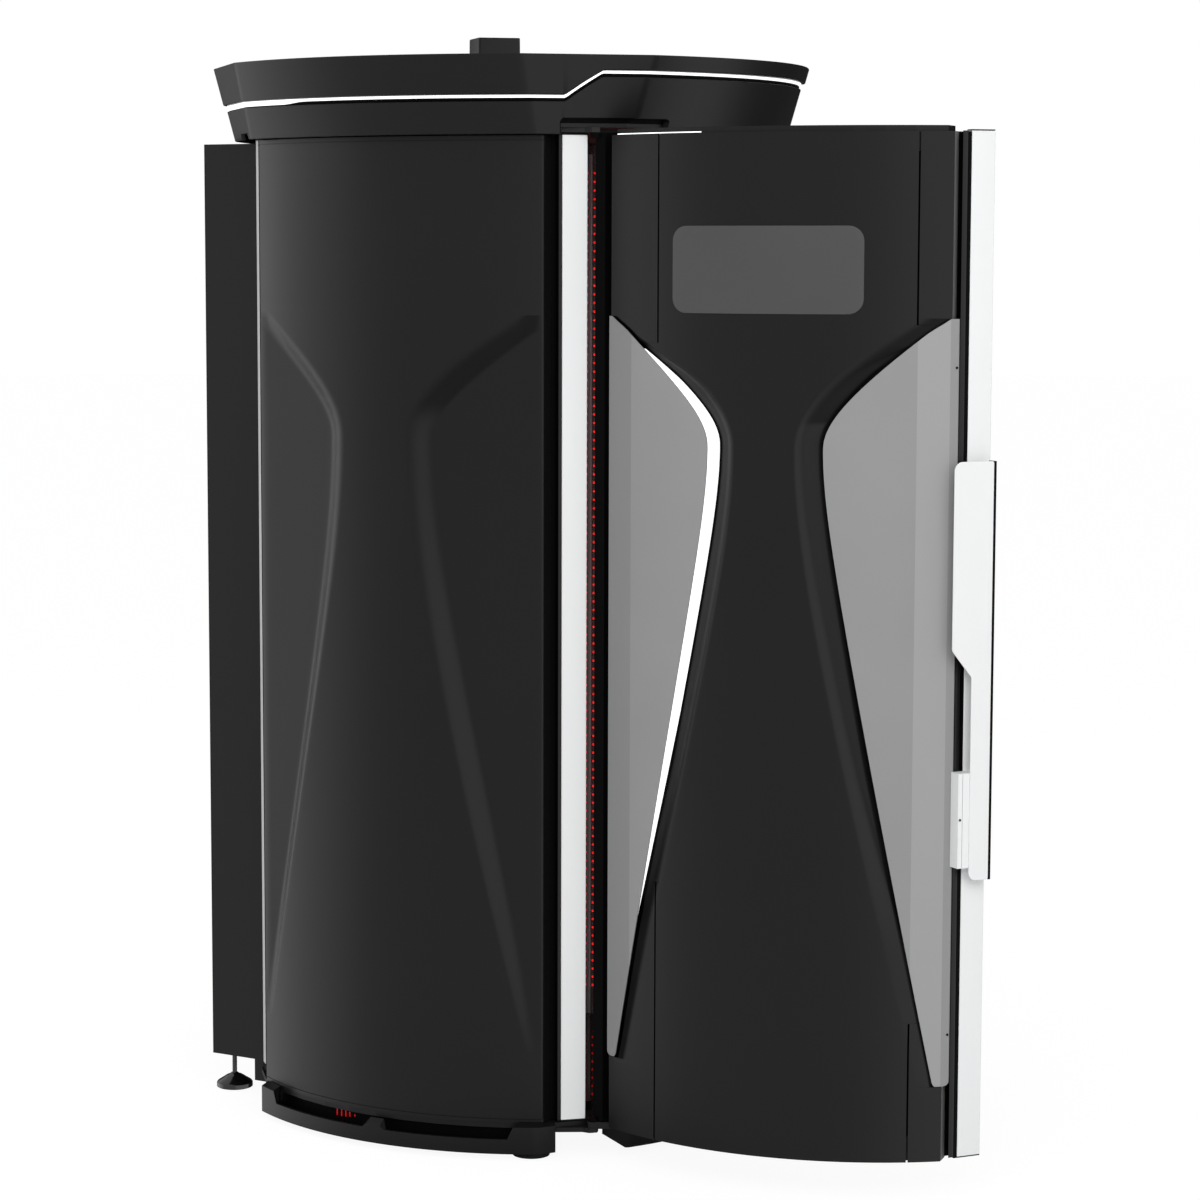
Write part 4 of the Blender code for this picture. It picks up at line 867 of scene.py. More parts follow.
def door_window(name, sign):
    """A pane on the door's arc, from the hourglass curve to just past the door's edge.

    Its lower end is rounded by a quarter circle, which cuts both of its sides in.
    """
    low, bend = WINDOW_BOTTOM + GAP, 0.010
    rows = skin_rows(low, WINDOW_TOP - GAP, 90)[:, 0]
    z = np.sort(np.append(rows, low + bend * np.linspace(0.03, 0.97, 9) ** 2))[:, None]
    drop = np.clip(1 - (z - low) / bend, 0, 1)
    cut = bend * (1 - np.sqrt(1 - drop**2))
    start = pane_edge(z) + 0.4 * cut
    end = PANE_END[name] - cut
    u = start + (end - start) * np.linspace(0, 1, 24)[None, :]
    eased = np.zeros((1, 24))
    eased[0, [0, -1]] = 0.0006
    outer = arc(u) - PANE_SUNK - eased
    across, out = there_and_back(u, u), there_and_back(outer, outer - PANE_WALL)
    shape = loft(on_door(sign * across, out, z))
    uv = marked((sign * across / HALF_CHORD + 1) / 2, z)
    piece(f"door_{name}_window_pane", shape, PANE, "door", [f"door_window_{name}"], uv=uv)


def door_light(name, sign):
    """A light guide under the pane's inner edge.

    At the hinge side it leans in from the pane to the backing.
    """
    z = skin_rows(WINDOW_BOTTOM, WINDOW_TOP, 120)
    z = z[pane_edge(z)[:, 0] < LIGHT_REACH]
    edge = pane_edge(z) + (GAP if sign < 0 else LIGHT_WALL)
    low = np.full_like(z, BACKING + GAP)
    high = np.maximum(arc(edge) - PANE_SEAT, low + 0.0012)
    lean = (sign < 0) * GUIDE_LEAN * np.minimum(1, (high - low) / LEAN_DEPTH)
    u = np.concatenate([edge - lean, edge - lean + LIGHT_WALL, edge + LIGHT_WALL, edge], 1)
    n = np.concatenate([low, low, high, high], 1)
    shape = loft(on_door(sign * u, n, z))
    piece(f"door_{name}_glow", shape, GUIDE, "door", [f"door_light_{name}"])


def pane_plugs():
    """Two small screw plugs near the free edge of the free pane, laid on the door's arc."""
    spots = on_door(PLUG_U, arc(PLUG_U) - PANE_SUNK, np.array(PLUG_Z))
    out = on_door(0.25, 1.0, 0.0) - on_door(0.0, 0.0, 0.0)
    screw_heads("door_pane_plugs", spots, out, "door", 0.0026, FRAME_COAT)


def door_plate():
    """The plain plate: a rounded rectangle laid on the door's arc, its edge eased."""
    left, right, low, high, bend = -0.200, 0.195, 1.777, 1.950, 0.030
    angle = np.linspace(0, math.pi / 2, 10)
    lift = np.append(bend * (1 - np.cos(angle)), 0.5 * (high - low))
    cut = np.append(bend * (1 - np.sin(angle)), 0.0)
    z = np.append(low + lift, (high - lift)[::-1][1:])[:, None]
    inset = np.append(cut, cut[::-1][1:])[:, None]
    share = np.linspace(-1, 1, 41)[None, :]
    u = (left + right) / 2 + share * ((right - left) / 2 - inset)
    base = arc(u) + 0.0008
    proud = 0.0016 * np.minimum(1, (1 - np.abs(share)) * 200 + 0.4)
    shape = loft(on_door(there_and_back(u, u), there_and_back(base, base + proud), z))
    piece("door_plain_plate", shape, PLATE_GREY, "door", ["door_badge"])


# Corner trim and handle


def trim(name, place, body, node, strip):
    """The white channel on a corner, a black cap on each end, and the satin strip beside it."""
    first, last = TRIM
    outside = [(first, TRIM_DEPTH), (first, 0), (last, 0), (last, TRIM_DEPTH)]
    bends = [0, TRIM_ROUND, TRIM_ROUND, 0]
    left, right = first + TRIM_WALL, last - TRIM_WALL
    inside = [(right, TRIM_DEPTH), (right, TRIM_WALL), (left, TRIM_WALL), (left, TRIM_DEPTH)]
    outline = rounded(outside + inside, bends + [0] * 4)
    rows = np.linspace(*TRIM_Z, 12)[:, None]
    piece(name, loft(place(*corner(*outline.T, 1), rows)), WHITE, body, [node])

    def put(s, z, t):
        return place(*corner(s, t, 1), z)

    low, high = TRIM_Z
    ends = ((low - GAP, low - CAP_WALL), (high + GAP, high + CAP_WALL))
    caps = [plate(rounded(outside, bends), near, far, 0.0006, put) for near, far in ends]
    piece(f"{name}_caps", joined(*caps), DARK_STEEL, body)
    corner_strip(f"{name}_strip", place, 1, strip, TRIM_Z, body, SATIN)


def corner_strip(name, place, end, span, levels, body, material):
    """A thin strip on a corner facet, its two long edges rounded."""
    s, t = rectangle(*span, 0.0, -0.0006, [0, 0, 0.0004, 0.0004], 3).T
    rows = np.linspace(*levels, 12)[:, None]
    piece(name, loft(place(*corner(s, t - 0.0001, end), rows)), material, body)


def door_top_light():
    """A thin glowing strip along the hinge half of the door's top, on the arc: a painted glint in
    the band's glowing finish.
    """
    u = np.linspace(-0.340, -0.138, 24)[:, None]
    inset = np.array([-0.0004, -0.0040, -0.0040, -0.0004])
    z = SKIN_TOP + np.array([0.0003, 0.0003, 0.0022, 0.0022])
    piece("door_top_light", loft(on_door(u, arc(u) + inset, z)), BAND, "door")


def handle():
    """The pull: a flat plate off the free corner, a wide grip above and a narrow tail below."""
    left, right, narrow = -0.0085, 0.081, 0.0365
    low, high = 0.651, 1.4885
    points = [(left, high), (right, high), (right, low)]
    points += [(narrow, low), (narrow, 1.060), (left, 1.115)]
    outline = rounded(points, [0.018, 0.004, 0.004, 0.016, 0.012, 0.012], 8)

    def put(s, depth, z):
        return on_door(*corner(s, -depth, 1), z)

    shape = plate(outline, HANDLE_OUT, HANDLE_OUT + 0.003, 0.0006, put)
    piece("door_pull_plate", shape, WHITE, "door", ["door_handle"])


# Canopy


def canopy_outline():
    """Plan of the canopy round its four arcs and four facets.

    Gives the rest points, how each moves out as the canopy grows, its part of the plan, and how far
    along that part it is.
    """
    bend = np.append(np.linspace(0, 1, 9) ** 2, -0.03)
    near = SLOT_END * HALF_CHORD - SLOT_ROUND * bend
    u = np.unique(np.append(np.linspace(-HALF_CHORD, HALF_CHORD, 61), near))
    near = SLOT_START + SLOT_ROUND / FACET * bend
    stops = np.unique(np.append(np.linspace(0, 1, 41)[1:-1], near))
    bulge = CANOPY_SAGITTA * (1 - (u / HALF_CHORD) ** 2)
    lines = []
    for side in BEARING:
        angle = math.radians(BEARING[side])
        points, ways = turned(u, -bulge, angle), turned(0 * u, 0 * u - 1, angle)
        lines.append((np.stack(points, -1), np.stack(ways, -1)))
    rest, move, part, share = [], [], [], []
    for k, side in enumerate(BEARING):
        here, after = lines[k], lines[(k + 1) % 4]
        f = (stops if side == "left" else (1 - stops)[::-1])[:, None]
        rest += [here[0], here[0][-1] * (1 - f) + after[0][0] * f]
        move += [here[1], here[1][-1] * (1 - f) + after[1][0] * f]
        part += [np.full(len(u), 2 * k), np.full(len(f), 2 * k + 1)]
        share += [u / HALF_CHORD, f[:, 0]]
    return [np.concatenate(group) for group in (rest, move, part, share)]


def canopy_levels(part, share):
    """Heights round the canopy: its bottom edge, and the light band that ramps up to the front.

    The edge steps up over the front, has a notch at a rear corner, and rises to a slot with a round
    end where the door swings.
    """
    low, high = RAMP
    left = np.clip((share - low) / (high - low), 0, 1)
    right = np.clip((1 - low - share) / (high - low), 0, 1)
    front, front_right, rear_left, front_left = (part == k for k in (0, 1, 5, 7))
    rise = np.select([front, front_left, front_right], [1.0, left, right], 0.0)
    along = [(SLOT_END - share) * HALF_CHORD, (share - SLOT_START) * FACET]
    inside = np.clip(np.select([front, front_left], along, -1.0) / SLOT_ROUND, -1, 1)
    raised = front | (front_right & (share < 1 - SLOT_START - GAP))
    notch = rear_left & (share > NOTCH[0]) & (share < NOTCH[1])
    edge = np.select([raised, notch], [CANOPY_FRONT, CANOPY_BOTTOM + NOTCH_RISE], CANOPY_BOTTOM)
    round_end = 0.55 + 0.45 * np.sqrt(1 - (1 - np.maximum(inside, 0)) ** 2)
    edge = np.where(inside >= 0, edge + (CANOPY_SLOT - edge) * round_end, edge)
    return edge, BAND_LOW + (BAND_HIGH - BAND_LOW) * rise


def canopy_ring(name, outline, levels, grow, wall, soft, material, *nodes):
    """A flared ring wall: loops run up its outside, over the eased edges and down its inside."""
    rest, move = outline[:2]
    low, high = levels
    steps = [(low, soft), (low + soft, 0), (high - soft, 0), (high, soft)]
    steps += [(high, wall - soft), (high - soft, wall), (low + soft, wall), (low, wall - soft)]
    loops = []
    for z, inset in steps:
        half = CANOPY_HALF + CANOPY_FLARE * (z - CANOPY_BOTTOM) + grow - inset
        plan = rest + move * half[:, None]
        loops.append(np.column_stack([plan[:, 0], plan[:, 1] + AXIS_Y, z]))
    piece(name, loft(loops, ring=True), material, "booth", nodes, sharp=30)


def canopy():
    """The canopy's rings: two tiers, the lit band between them, a black ring under the band's lit
    part that paints the shadow gap at its foot, and the liner.

    The band is lit over its upper part only, and over nearly all of its height at the rear left.
    """
    outline = canopy_outline()
    part, share = outline[2:]
    edge, band = canopy_levels(part, share)
    band_top = band + BAND_HEIGHT
    above = band_top + BAND_GAP
    top = np.full_like(band, CANOPY_TOP)
    start, stop = BAND_FADE
    fade = 1 - ease((share - start) / (stop - start))
    whole = np.select([part == 6, part == 5], [fade, 1.0], 0.0)
    lit = band_top - BAND_LIT - (BAND_HEIGHT - BAND_LIT - 0.0024) * whole
    liner = np.full_like(band, LINER_BOTTOM), top - 0.0125

    def ring(name, *rest):
        canopy_ring(f"canopy_{name}", outline, *rest)

    ring("lower_tier", (edge, band), 0.0, CANOPY_WALL, 0.0012, CANOPY_COAT, "canopy_lower")
    ring("light_band", (lit, band_top), -0.003, 0.007, 0.0006, BAND, "canopy_light")
    # Painted shadow: a black ring fills the band below its lit part.
    ring("band_seat", (band + 0.0004, lit - GAP), -0.006, 0.006, 0.0006, FRAME_COAT)
    ring("liner", liner, -0.0155, 0.0015, 0.0003, FRAME_COAT)
    ring("upper_tier", (above, top), 0.006, CANOPY_WALL, 0.0016, CANOPY_COAT, "canopy_upper")


def roof_box():
    """The terminal box: rounded squares stacked from its flange to its top, turned 45 degrees."""
    wide, high = 0.190, 2.363
    levels = [(wide, 0.0), (wide, 0.0110), (0.098, 0.0113), (0.095, 0.014)]
    levels = [(width, ROOF_DECK + rise) for width, rise in levels]
    levels += [(0.094, high - 0.0015), (0.092, high)]
    loops = []
    for width, z in levels:
        half = width / 2
        square = rectangle(-half, half, -half, half, width * 0.06, 5)
        x, y = turned(square[:, 0], square[:, 1], math.pi / 4)
        loops.append(np.column_stack([x, y + AXIS_Y + 0.045, np.full(len(x), z)]))
    piece("roof_terminal_box", loft(loops), INNER_COAT, "booth", ["roof_box"])


# Base

# Kinds of section along a base bar: top of its face, and offset and height of the slope's back
BAR_BLOCK = (0.071, 0.003, 0.0765)
BAR_POST = (0.052, 0.0115, 0.064)
BAR_VENT = (0.045, 0.022, 0.045)
BAR_SPANS = (
    (-0.340, BAR_BLOCK), (-0.291, BAR_BLOCK), (-0.280, BAR_VENT), (-0.0165, BAR_VENT),
    (-0.0055, BAR_POST), (0.028, BAR_POST), (0.039, BAR_VENT), (0.302, BAR_VENT),
    (0.313, BAR_BLOCK), (0.362, BAR_BLOCK), (0.382, BAR_BLOCK),
)
# Offsets from the arc and heights of the bars, of their slanting front end and of the rib behind
BAR_BOTTOM = 0.0135
BAR_SHELF = 0.030
BAR_PROUD = 0.030
BAR_NOSE = (0.362, 0.382)
BAR_LEAN = (0, 0.67, 0.775)
NOSE_PROUD = 0.0105
RIB_HALF = 0.300
RIB_N = (-0.014, -0.03)
RIB_TOP = 0.0627
SILL_Z = (0.015, 0.055)
# Painted red glints, standing in for the booth's lamps reflected in the vent: place along the bar
# and half height
RED_GLINTS = ((-0.114, 0.0085), (-0.101, 0.0080), (-0.089, 0.0070), (-0.078, 0.0055), (-0.064, 0.0030))


def skirt(side, front):
    """A curved base bar: blocks and a post with sloping tops, and a low lip along the vents.

    The back of its front end leans away, so that only the block shows past the corner.
    """
    at = [u for u, _ in BAR_SPANS]
    runs = [np.linspace(a, b, max(2, int((b - a) / 0.012))) for a, b in zip(at[:-1], at[1:])]
    u = np.unique(np.round(np.concatenate(runs), 5))
    face, back, top = (np.interp(u, at, [kind[k] for _, kind in BAR_SPANS]) for k in range(3))
    proud = np.interp(u, BAR_NOSE, [BAR_PROUD, NOSE_PROUD])
    back = np.minimum(back, proud - 0.0015)
    rib = np.where(np.abs(u) < RIB_HALF, RIB_TOP, 0.0315)
    level = np.zeros_like(u)
    rib_front, rib_back = level + RIB_N[0], level + RIB_N[1]
    bottom, shelf = level + BAR_BOTTOM, level + BAR_SHELF
    offset = np.stack([proud, proud, back, back, rib_front, rib_front, rib_back, rib_back], 1)
    z = np.stack([bottom, face, top, shelf, shelf, rib, rib, bottom], 1)
    lean = np.interp(u, [0.313, *BAR_NOSE], BAR_LEAN)[:, None]
    start = np.interp(u, BAR_NOSE, [BAR_BLOCK[1], NOSE_PROUD])[:, None]
    along = u[:, None] - lean * np.maximum(0, start - offset)
    loops = on_side(side)(front * along, arc(u)[:, None] + offset, z)
    piece(f"{side}_base_bar", loft(loops), SATIN, "booth", [f"{side}_skirt"], bevel=0.0014)
    u = np.linspace(-0.333, 0.356, 60)[:, None]
    offset = np.array([0.0015, 0.0015, -0.0125, -0.0125, -0.0138, -0.0138])
    z = np.array([0.0303, 0.0313, 0.0313, 0.0730, 0.0730, 0.0303])
    liner = loft(on_side(side)(front * u, arc(u) + offset, z))
    piece(f"{side}_vent_liner", liner, FRAME_COAT, "booth")


def sill():
    """The low bar under the door on the same curve; its underside rises behind at both ends."""
    u = np.concatenate([[-0.3555], np.linspace(-0.3515, 0.3515, 60), [0.3555]])
    proud = np.where(np.abs(u) > 0.352, 0.026, BAR_PROUD)
    rib = np.where(np.abs(u) < RIB_HALF, RIB_TOP, 0.0553)
    level = np.zeros_like(u)
    rib_front, rib_back = level + RIB_N[0], level + RIB_N[1]
    bottom, top = level + SILL_Z[0], level + SILL_Z[1]
    under = SILL_Z[0] + 0.022 * ease((np.abs(u) - RIB_HALF) / 0.05)
    offset = np.stack([proud, proud, rib_front, rib_front, rib_back, rib_back], 1)
    z = np.stack([bottom, top, top, rib, rib, under], 1)
    loops = on_side("front")(u[:, None], arc(u)[:, None] + offset, z)
    piece("door_sill_bar", loft(loops), SATIN, "booth", ["front_sill"], bevel=0.0012)


def feet():
    """Turned feet: ribbed rubber pucks in front, levelling pads on threaded stems behind."""
    across, up, out = np.eye(3)
    wide, groove = 0.0395, 0.0387
    puck = [(0.0355, 0.0), (0.039, 0.0010), (wide, 0.0025)]
    for k in range(3):
        base = 0.0028 + 0.0032 * k
        puck += [(wide, base), (groove, base + 0.0008)]
        puck += [(groove, base + 0.0016), (wide, base + 0.0024)]
    puck += [(0.039, 0.0126), (0.037, 0.0132)]
    for side, end in (("left", 1), ("right", -1)):
        centre = on_side(side)(end * 0.3213, 0.457, 0.0)
        shape = repeated(lathe(puck, 40), [centre], across, up, out)
        piece(f"{side}_front_puck", shape, RUBBER, "booth", [f"foot_front_{side}"])
    stem = 0.0055
    pad = [(0.0385, 0.0), (0.0405, 0.001), (0.041, 0.003), (0.0408, 0.0105), (0.0385, 0.0135)]
    pad += [(0.029, 0.0195), (0.020, 0.0255), (0.0165, 0.0275), (0.0125, 0.0290)]
    pad += [(0.0085, 0.0312), (0.0080, 0.0322), (stem, 0.0324)]
    pad += [(stem - 0.0004 * (k % 2), 0.0330 + k * 0.00166) for k in range(34)]
    pad += [(stem, 0.0894)]
    for side, sign in (("left", -1), ("right", 1)):
        centre = (sign * 0.316, AXIS_Y + 0.549, 0.0)
        shape = repeated(lathe(pad, 36), [centre], across, up, out)
        piece(f"{side}_levelling_foot", shape, BLACK_GLOSS, "booth", [f"foot_rear_{side}"])


def hinge_ear():
    """A short ear on the lower hinge plate, under the door's corner and below all that swings."""
    outline = rectangle(-0.012, 0.040, -0.010, 0.010, 0.004, 4)

    def put(along, z, across):
        x, y = turned(along, across, EAR_TURN)
        return np.stack(np.broadcast_arrays(x + PIVOT[0], y + PIVOT[1], z), -1)

    piece("hinge_lower_ear", plate(outline, 0.0607, 0.0755, 0.0006, put), DARK_STEEL, "booth")


def rear_tabs():
    """A black angle at each rear corner below the cabinet, its lower end square."""
    outline = rectangle(0.400, 0.448, 0.041, 0.120, 0.0008, 3)
    for side, sign in (("left", -1), ("right", 1)):

        def put(y, depth, z, sign=sign):
            return np.stack(np.broadcast_arrays(sign * (0.3795 - depth), y + AXIS_Y, z), -1)

        piece(f"{side}_rear_tab", plate(outline, 0.0, 0.003, 0.0004, put), INNER_COAT, "booth")


# Lamps


def lamps(side, place, body):
    """A lamp board on the tray's floor, domed lamps on a square pitch over it, and two rails."""
    low, high = BOARD_Z[body]
    facing = place(0.0, 1.0, 0.0) - place(0.0, 2.0, 0.0)
    across = place(1.0, 1.0, 0.0) - place(0.0, 1.0, 0.0)
    up = np.array([0.0, 0.0, 1.0])
    back = TRAY_FLOOR - GAP
    face = back - 0.0016
    wide = TRAY_HALF - 0.0015
    u = np.linspace(-wide, wide, 5)[None, :]
    z = np.linspace(low, high, 5)[:, None]
    board = loft(there_and_back(place(u, face, z), place(u, back, z)))
    uv = marked(there_and_back(u, u) / LAMP_PITCH + 50, z / LAMP_PITCH)
    piece(f"{side}_lamp_board", board, BOARD, body, uv=uv)
    column = np.arange(-16, 17) * LAMP_PITCH
    row = np.arange(0.155, 2.08, LAMP_PITCH)
    row = row[(row > low + 0.01) & (row < high - 0.01)]
    centres = place(column[None, :], face - GAP, row[:, None]).reshape(-1, 3)
    dome = lathe([(0.0031, 0.0), (0.0028, 0.0012), (0.0014, 0.0022)], 6)
    piece(f"{side}_lamps", repeated(dome, centres, across, up, facing), LAMP, body, sharp=80)
    rail_u, rail_n = rectangle(-0.004, 0.004, 0.0, 0.0055, [0, 0, 0.0012, 0.0012], 4).T
    ends = np.array([[low + 0.002], [high - 0.002]])
    for name, middle in (("front", 0.0305), ("rear", -0.0305)):
        rail = loft(place(middle + rail_u, face - GAP - rail_n, ends))
        piece(f"{side}_lamp_rail_{name}", rail, RAIL_GREY, body)


# Small fittings


def screw_heads(name, centres, out, body, radius=0.0042, material=ZINC):
    """Round heads with a driver socket, set square to a face."""
    high = radius * 0.55
    profile = [(radius, 0.0), (radius, high * 0.5), (radius * 0.82, high)]
    profile += [(radius * 0.46, high), (radius * 0.42, high * 0.25)]
    out = np.asarray(out, float) / np.linalg.norm(out)
    across = np.cross(out, (0.0, 0.0, 1.0) if abs(out[2]) < 0.9 else (1.0, 0.0, 0.0))
    across /= np.linalg.norm(across)
    shape = repeated(lathe(profile, 12), centres, across, np.cross(out, across), out)
    piece(name, shape, material, body)


def louvres():
    """Pressed hoods over the cover's slots: each a quarter round lip, carried along its slot."""
    bend = np.linspace(0, math.pi / 2, 9)
    n = np.append(0.009 * np.sin(bend), 0.0078 * np.sin(bend[::-1]))
    z = np.append(0.0085 * np.cos(bend), 0.0073 * np.cos(bend[::-1]))
    u = np.array([-0.155, -0.153, 0.153, 0.155])[:, None]
    draw = np.array([0.15, 1.0, 1.0, 0.15])[:, None]
    levels = [base + 0.026 * k + 0.0095 for base in (0.42, 1.62) for k in range(9)]
    out = CABINET_BACK + GAP + n * draw
    hoods = [loft(on_side("rear")(u, out, level + z * draw)) for level in levels]
    piece("rear_louvre_hoods", joined(*hoods), INNER_COAT, "booth")


def power_inlet():
    """A mains inlet low on the rear cover: a rounded frame sunk round its three flat pins."""
    middle = np.array([0.26, 0.16])

    def put(u, depth, z):
        return on_side("rear")(u, CABINET_BACK + GAP + depth, z)

    outer = rectangle(-0.026, 0.026, -0.018, 0.018, 0.004) + middle
    half = [(0.014, -0.010), (0.014, 0.004), (0.009, 0.010)]
    hole = rounded([*half, *((-a, b) for a, b in half[::-1])], 0.002) + middle
    hole = hole[np.linspace(0, len(hole), len(outer), endpoint=False).astype(int)]
    rings = [(outer, 0.0), (outer, 0.0045), (shrunk(outer, 0.001), 0.0055)]
    rings += [(hole, 0.0055), (hole, 0.0006)]
    body = loft([put(line[:, 0], depth, line[:, 1]) for line, depth in rings])
    pin = rectangle(-0.001, 0.001, -0.003, 0.003, 0.0004, 3) + middle
    spots = ((-0.007, -0.002), (0.007, -0.002), (0.0, 0.004))
    pins = [plate(pin + spot, 0.0009, 0.0045, 0.0002, put) for spot in spots]
    piece("power_inlet", body, RUBBER, "booth")
    piece("power_inlet_pins", joined(*pins), ZINC, "booth")


def fittings():
    """Screws of the rear cover, roof deck, hinge plates and handle bracket."""
    rear = on_side("rear")
    z = np.linspace(0.11, 2.10, 8)
    edge = np.concatenate([rear(u, CABINET_BACK + GAP, z) for u in (-0.365, 0.365)])
    screw_heads("rear_cover_screws", edge, (0, 1, 0), "booth", 0.0045)
    angle = np.arange(12) * math.pi / 6 + math.pi / 12
    x, y = 0.545 * np.cos(angle), 0.545 * np.sin(angle) + AXIS_Y
    deck = np.column_stack([x, y, np.full(12, ROOF_DECK)])
    screw_heads("roof_deck_screws", deck, (0, 0, 1), "booth", 0.005, DARK_STEEL)
    under = on_side("left")(*corner(np.array([0.045, 0.075]), 0.022, 1), 0.0527)
    screw_heads("hinge_plate_bolts", under, (0, 0, -1), "booth", 0.006, DARK_STEEL)
    out = on_door(*corner(0.0, -1.0, 1), 0.0) - on_door(*corner(0.0, 0.0, 1), 0.0)
    dot = on_door(*corner(0.016, -HANDLE_OUT, 1), np.array([0.775]))
    screw_heads("handle_bracket_screw", dot, out, "door", 0.0026, DARK_STEEL)


def base_red_glints():
    """Five short rounded red bars on the left bar's rib behind its rear vent: painted reflections
    of the lamps.
    """
    bars = []
    for u, half in RED_GLINTS:
        outline = rectangle(-0.0017, 0.0017, -half, half, 0.0012, 4)

        def put(a, depth, b, u=u):
            return on_side("left")(u + a, arc(u) - 0.0137 + depth, 0.0525 + b)

        bars.append(plate(outline, 0.0, 0.002, 0.0004, put))
    piece("left_base_pilot_lamps", joined(*bars), RED_GLINT_GLOW, "booth")


def stop_button():
    """The stop button: a domed cap on a short stem, turned about its own axis."""
    low, high = (np.array(end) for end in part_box("stop_button"))
    across, up = np.array([ROOT_HALF, ROOT_HALF, 0.0]), np.array([0.0, 0.0, 1.0])
    out = np.array([-ROOT_HALF, ROOT_HALF, 0.0])
    centre = (low + high) / 2 - out * 0.0045
    profile = [(0.0066, 0.0), (0.0069, 0.0004), (0.0069, 0.0062), (0.0064, 0.0078)]
    profile += [(0.0048, 0.0088), (0.0020, 0.0090)]
    shape = repeated(lathe(profile, 36), [centre], across, up, out)
    piece("stop_button_cap", shape, RED, "stop_button", ["stop_button"])


# Finishes of the solids that stay


KEPT = {
    FRAME_COAT: [
        "left_front_upright", "left_rear_upright", "right_front_upright", "right_rear_upright",
        "door_hinge_upright", "door_free_upright", "door_handle_edge", "door_backing",
    ],
    INNER_COAT: [
        "platform", "left_lamp_tray", "right_lamp_tray", "rear_lamp_tray", "door_lamp_tray",
        "rear_cabinet", "rear_cover", "roof_frame", "door_bottom_rail", "door_top_rail",
        "button_bezel", "ceiling_panel", "roof_deck", "roof_fan_frame", "roof_fan_rotor",
    ],
    FLOOR_PANEL: ["tread_plate"],
    GUARD: ["left_guard", "right_guard", "rear_guard", "door_guard"],
    DARK_STEEL: ["hinge_plate_top", "hinge_plate_bottom"],
    ZINC: ["power_supply"],
    WHITE: ["door_handle_bracket_lower", "door_handle_bracket_upper"],
}


def dress_solids():
    """The finish of each solid that stays in view."""
    for material, names in KEPT.items():
        for name in names:
            mesh = frame["nodes"][name].data
            mesh.materials.clear()
            mesh.materials.append(material)


# Camera, light and floor

# The photograph's camera: focal length, width and axis column in pixels, place, and look in degrees
SENSOR = 36.0
PICTURE = 1200
FOCAL = 3306.9
AXIS_COLUMN = 512.29
EYE = (-6.3265, -3.7968, 1.9278)
LOOK_BEARING = 30.967
LOOK_DIP = 6.2645
# Lamps: place, target, width and power
SOFTBOXES = (
    ("key", (-5.0, -2.5, 4.2), (0.0, 0.0, 1.1), 3.5, 112),
    ("left", (-1.6, 5.6, 2.2), (-0.3, 0.3, 1.1), 6.0, 84),
    ("right", (-4.0, -5.6, 3.2), (-0.3, -0.2, 1.1), 4.0, 70),
)
FILL = 0.62
# What reflections see of the surroundings: bearing of the middle, cosines where a change of
# strength starts and is full, and the change: soft lights left and right, a dark end behind
REFLECTED = ((107.0, 0.82, 0.89, 0.80), (-95.0, 0.62, 0.72, 0.95), (8.0, 0.50, 0.67, -0.97))
# Floor: radius, drop below the feet, and distances between which reflections lose sight of it
FLOOR_RADIUS = 40.0
FLOOR_DROP = 0.0004
FLOOR_SEEN = (0.55, 0.95)


def camera():
    """The photograph's camera: its place, and the bearing and dip of its look."""
    data = bpy.data.cameras.new("camera")
    data.sensor_width = SENSOR
    data.lens = FOCAL * SENSOR / PICTURE
    data.shift_x = (PICTURE / 2 - AXIS_COLUMN) / PICTURE
    obj = linked("camera", data)
    x, y, z = EYE
    obj.location = (x, y + AXIS_Y, z)
    obj.rotation_euler = (math.radians(90 - LOOK_DIP), 0.0, math.radians(LOOK_BEARING - 90))
    bpy.context.scene.camera = obj


def softbox(name, place, target, size, power):
    """A square area lamp that faces its target and stays out of reflections."""
    data = bpy.data.lights.new(name, "AREA")
    data.shape = "SQUARE"
    data.size = size
    data.energy = power
    obj = linked(name, data)
    way = np.array(target, float) - np.array(place, float)
    way /= np.linalg.norm(way)
    obj.location = place
    obj.rotation_euler = (math.acos(-way[2]), 0.0, math.atan2(way[1], way[0]) - math.pi / 2)
    obj.visible_glossy = False


def studio():
    """White surroundings for the camera, a lit room for reflections, a softer fill, and lamps."""
    world = bpy.data.worlds.new("studio")
    bpy.context.scene.world = world
    look = Nodes(world)
    way = look.node("ShaderNodeTexCoord", give="Generated")
    mirror = look.rays("Glossy")
    strength = 1.0
    for bearing, start, full, change in REFLECTED:
        sockets = {0: way, 1: (*turned(1.0, 0.0, math.radians(bearing)), 0.0)}
        facing = look.node("ShaderNodeVectorMath", {"operation": "DOT_PRODUCT"}, sockets, "Value")
        strength = strength + change * look.smooth_step(facing, start, full) * mirror
    fill, seen = (
        look.node("ShaderNodeBackground", None, {"Color": (1, 1, 1, 1), "Strength": level})
        for level in (FILL, strength)
    )
    direct = look.rays("Camera", "Glossy", "Transmission")
    look.end(look.blend(direct, fill, seen), "ShaderNodeOutputWorld")
    for lamp in SOFTBOXES:
        softbox(*lamp)


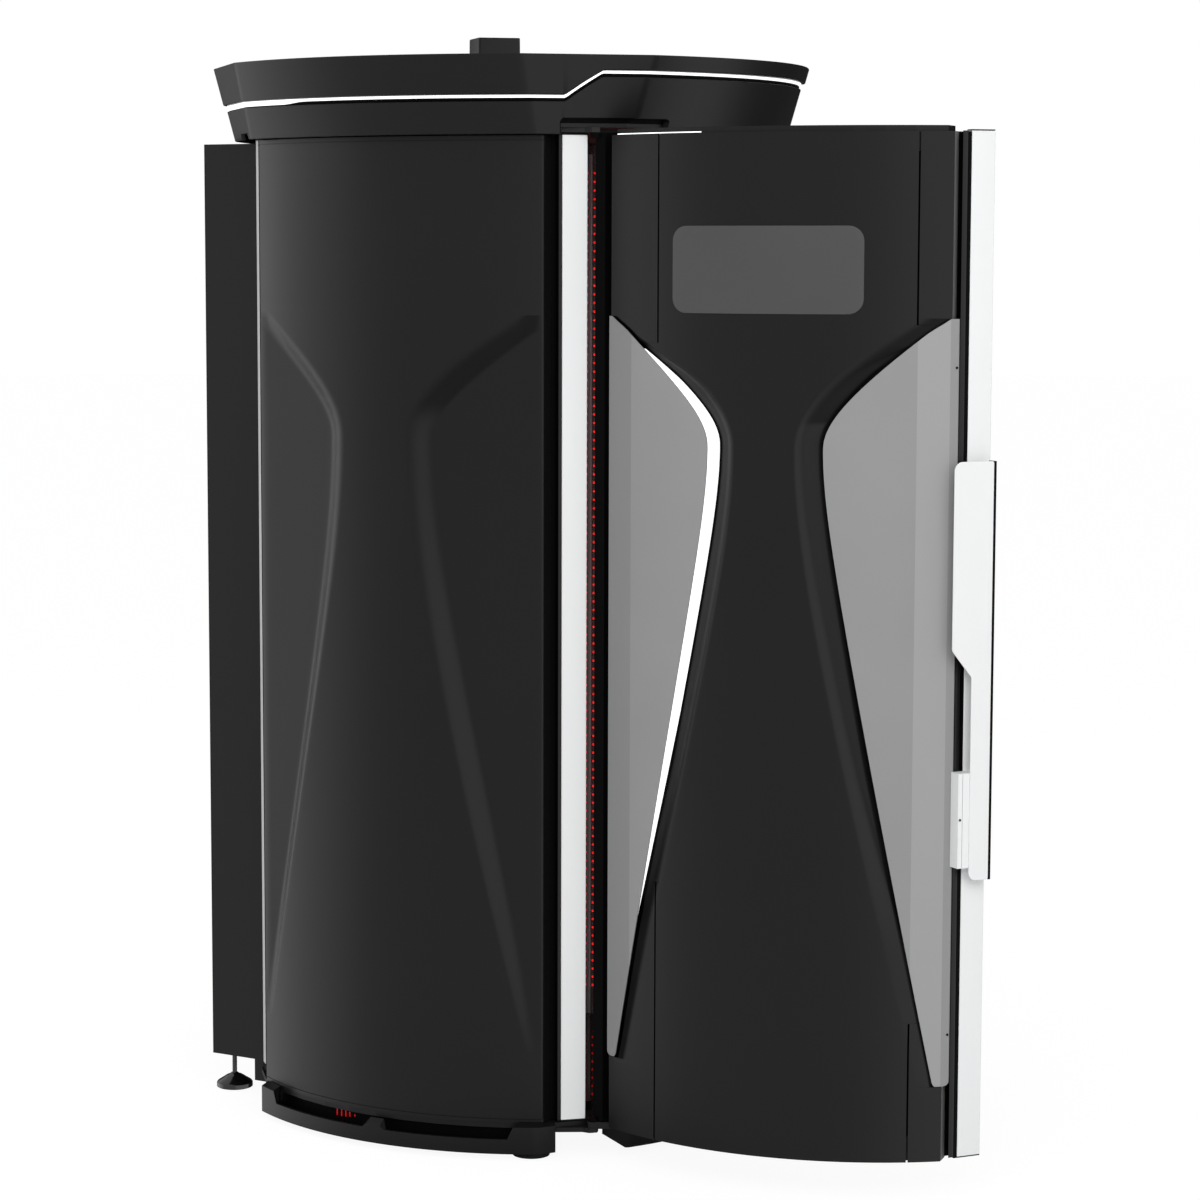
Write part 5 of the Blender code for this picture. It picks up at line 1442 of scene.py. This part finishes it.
def floor():
    """A broad disc: pale and matt, white to the camera, with the booth's shadow left on it.

    Reflections see it close to the booth only; further out they see the room.
    """
    angle = np.arange(64) * 2 * math.pi / 64
    ring = np.column_stack([np.cos(angle), np.sin(angle), 0 * angle])
    mesh = bpy.data.meshes.new("floor")
    mesh.from_pydata((ring * FLOOR_RADIUS - (0, 0, FLOOR_DROP)).tolist(), [], [list(range(64))])
    look = Finish("pale_floor")
    shade = look.node("ShaderNodeBsdfDiffuse", None, {"Color": (0.70, 0.70, 0.70, 1)})
    glow = look.node("ShaderNodeEmission", None, {"Color": (1, 1, 1, 1), "Strength": 1.10})
    pale = look.blend(look.rays("Camera", "Transmission") * 0.84, shade, glow)
    away = look.node("ShaderNodeVectorMath", {"operation": "LENGTH"}, {0: look.place()}, "Value")
    far = look.smooth_step(away, *FLOOR_SEEN)
    room = look.node("ShaderNodeBsdfTransparent")
    mesh.materials.append(look.made(look.blend(look.rays("Glossy") * far * 0.93, pale, room)))
    linked("floor", mesh)


def main():
    bpy.context.scene.view_settings.view_transform = "Standard"
    camera()
    studio()
    floor()
    dress_solids()
    for side in ("left", "right"):
        wing_skin(side)
    door_cover()
    door_stile("hinge", -1, SEAM_HINGE)
    door_stile("free", 1, SEAM_FREE)
    for name, sign in (("hinge", -1), ("free", 1)):
        door_window(name, sign)
        door_light(name, sign)
    door_plate()
    pane_plugs()
    trim("left_post_trim", on_side("left"), "booth", "left_front_trim", POST_STRIP)
    trim("door_edge_trim", on_door, "door", "door_free_trim", DOOR_STRIP)
    # Painted highlight: a pale strip on each wing's rear corner stands in for light caught by the
    # skin's rounded rear edge.
    for side, end in (("left", -1), ("right", 1)):
        span, levels = REAR_HIGHLIGHT_STRIP
        corner_strip(f"{side}_rear_edge", on_side(side), end, span, levels, "booth", PALE_EDGE_HIGHLIGHT)
    door_top_light()
    handle()
    canopy()
    roof_box()
    skirt("left", 1)
    skirt("right", -1)
    sill()
    feet()
    hinge_ear()
    rear_tabs()
    for side in ("left", "right", "rear"):
        lamps(side, on_side(side), "booth")
    lamps("door", on_door, "door")
    louvres()
    power_inlet()
    fittings()
    base_red_glints()
    stop_button()


main()
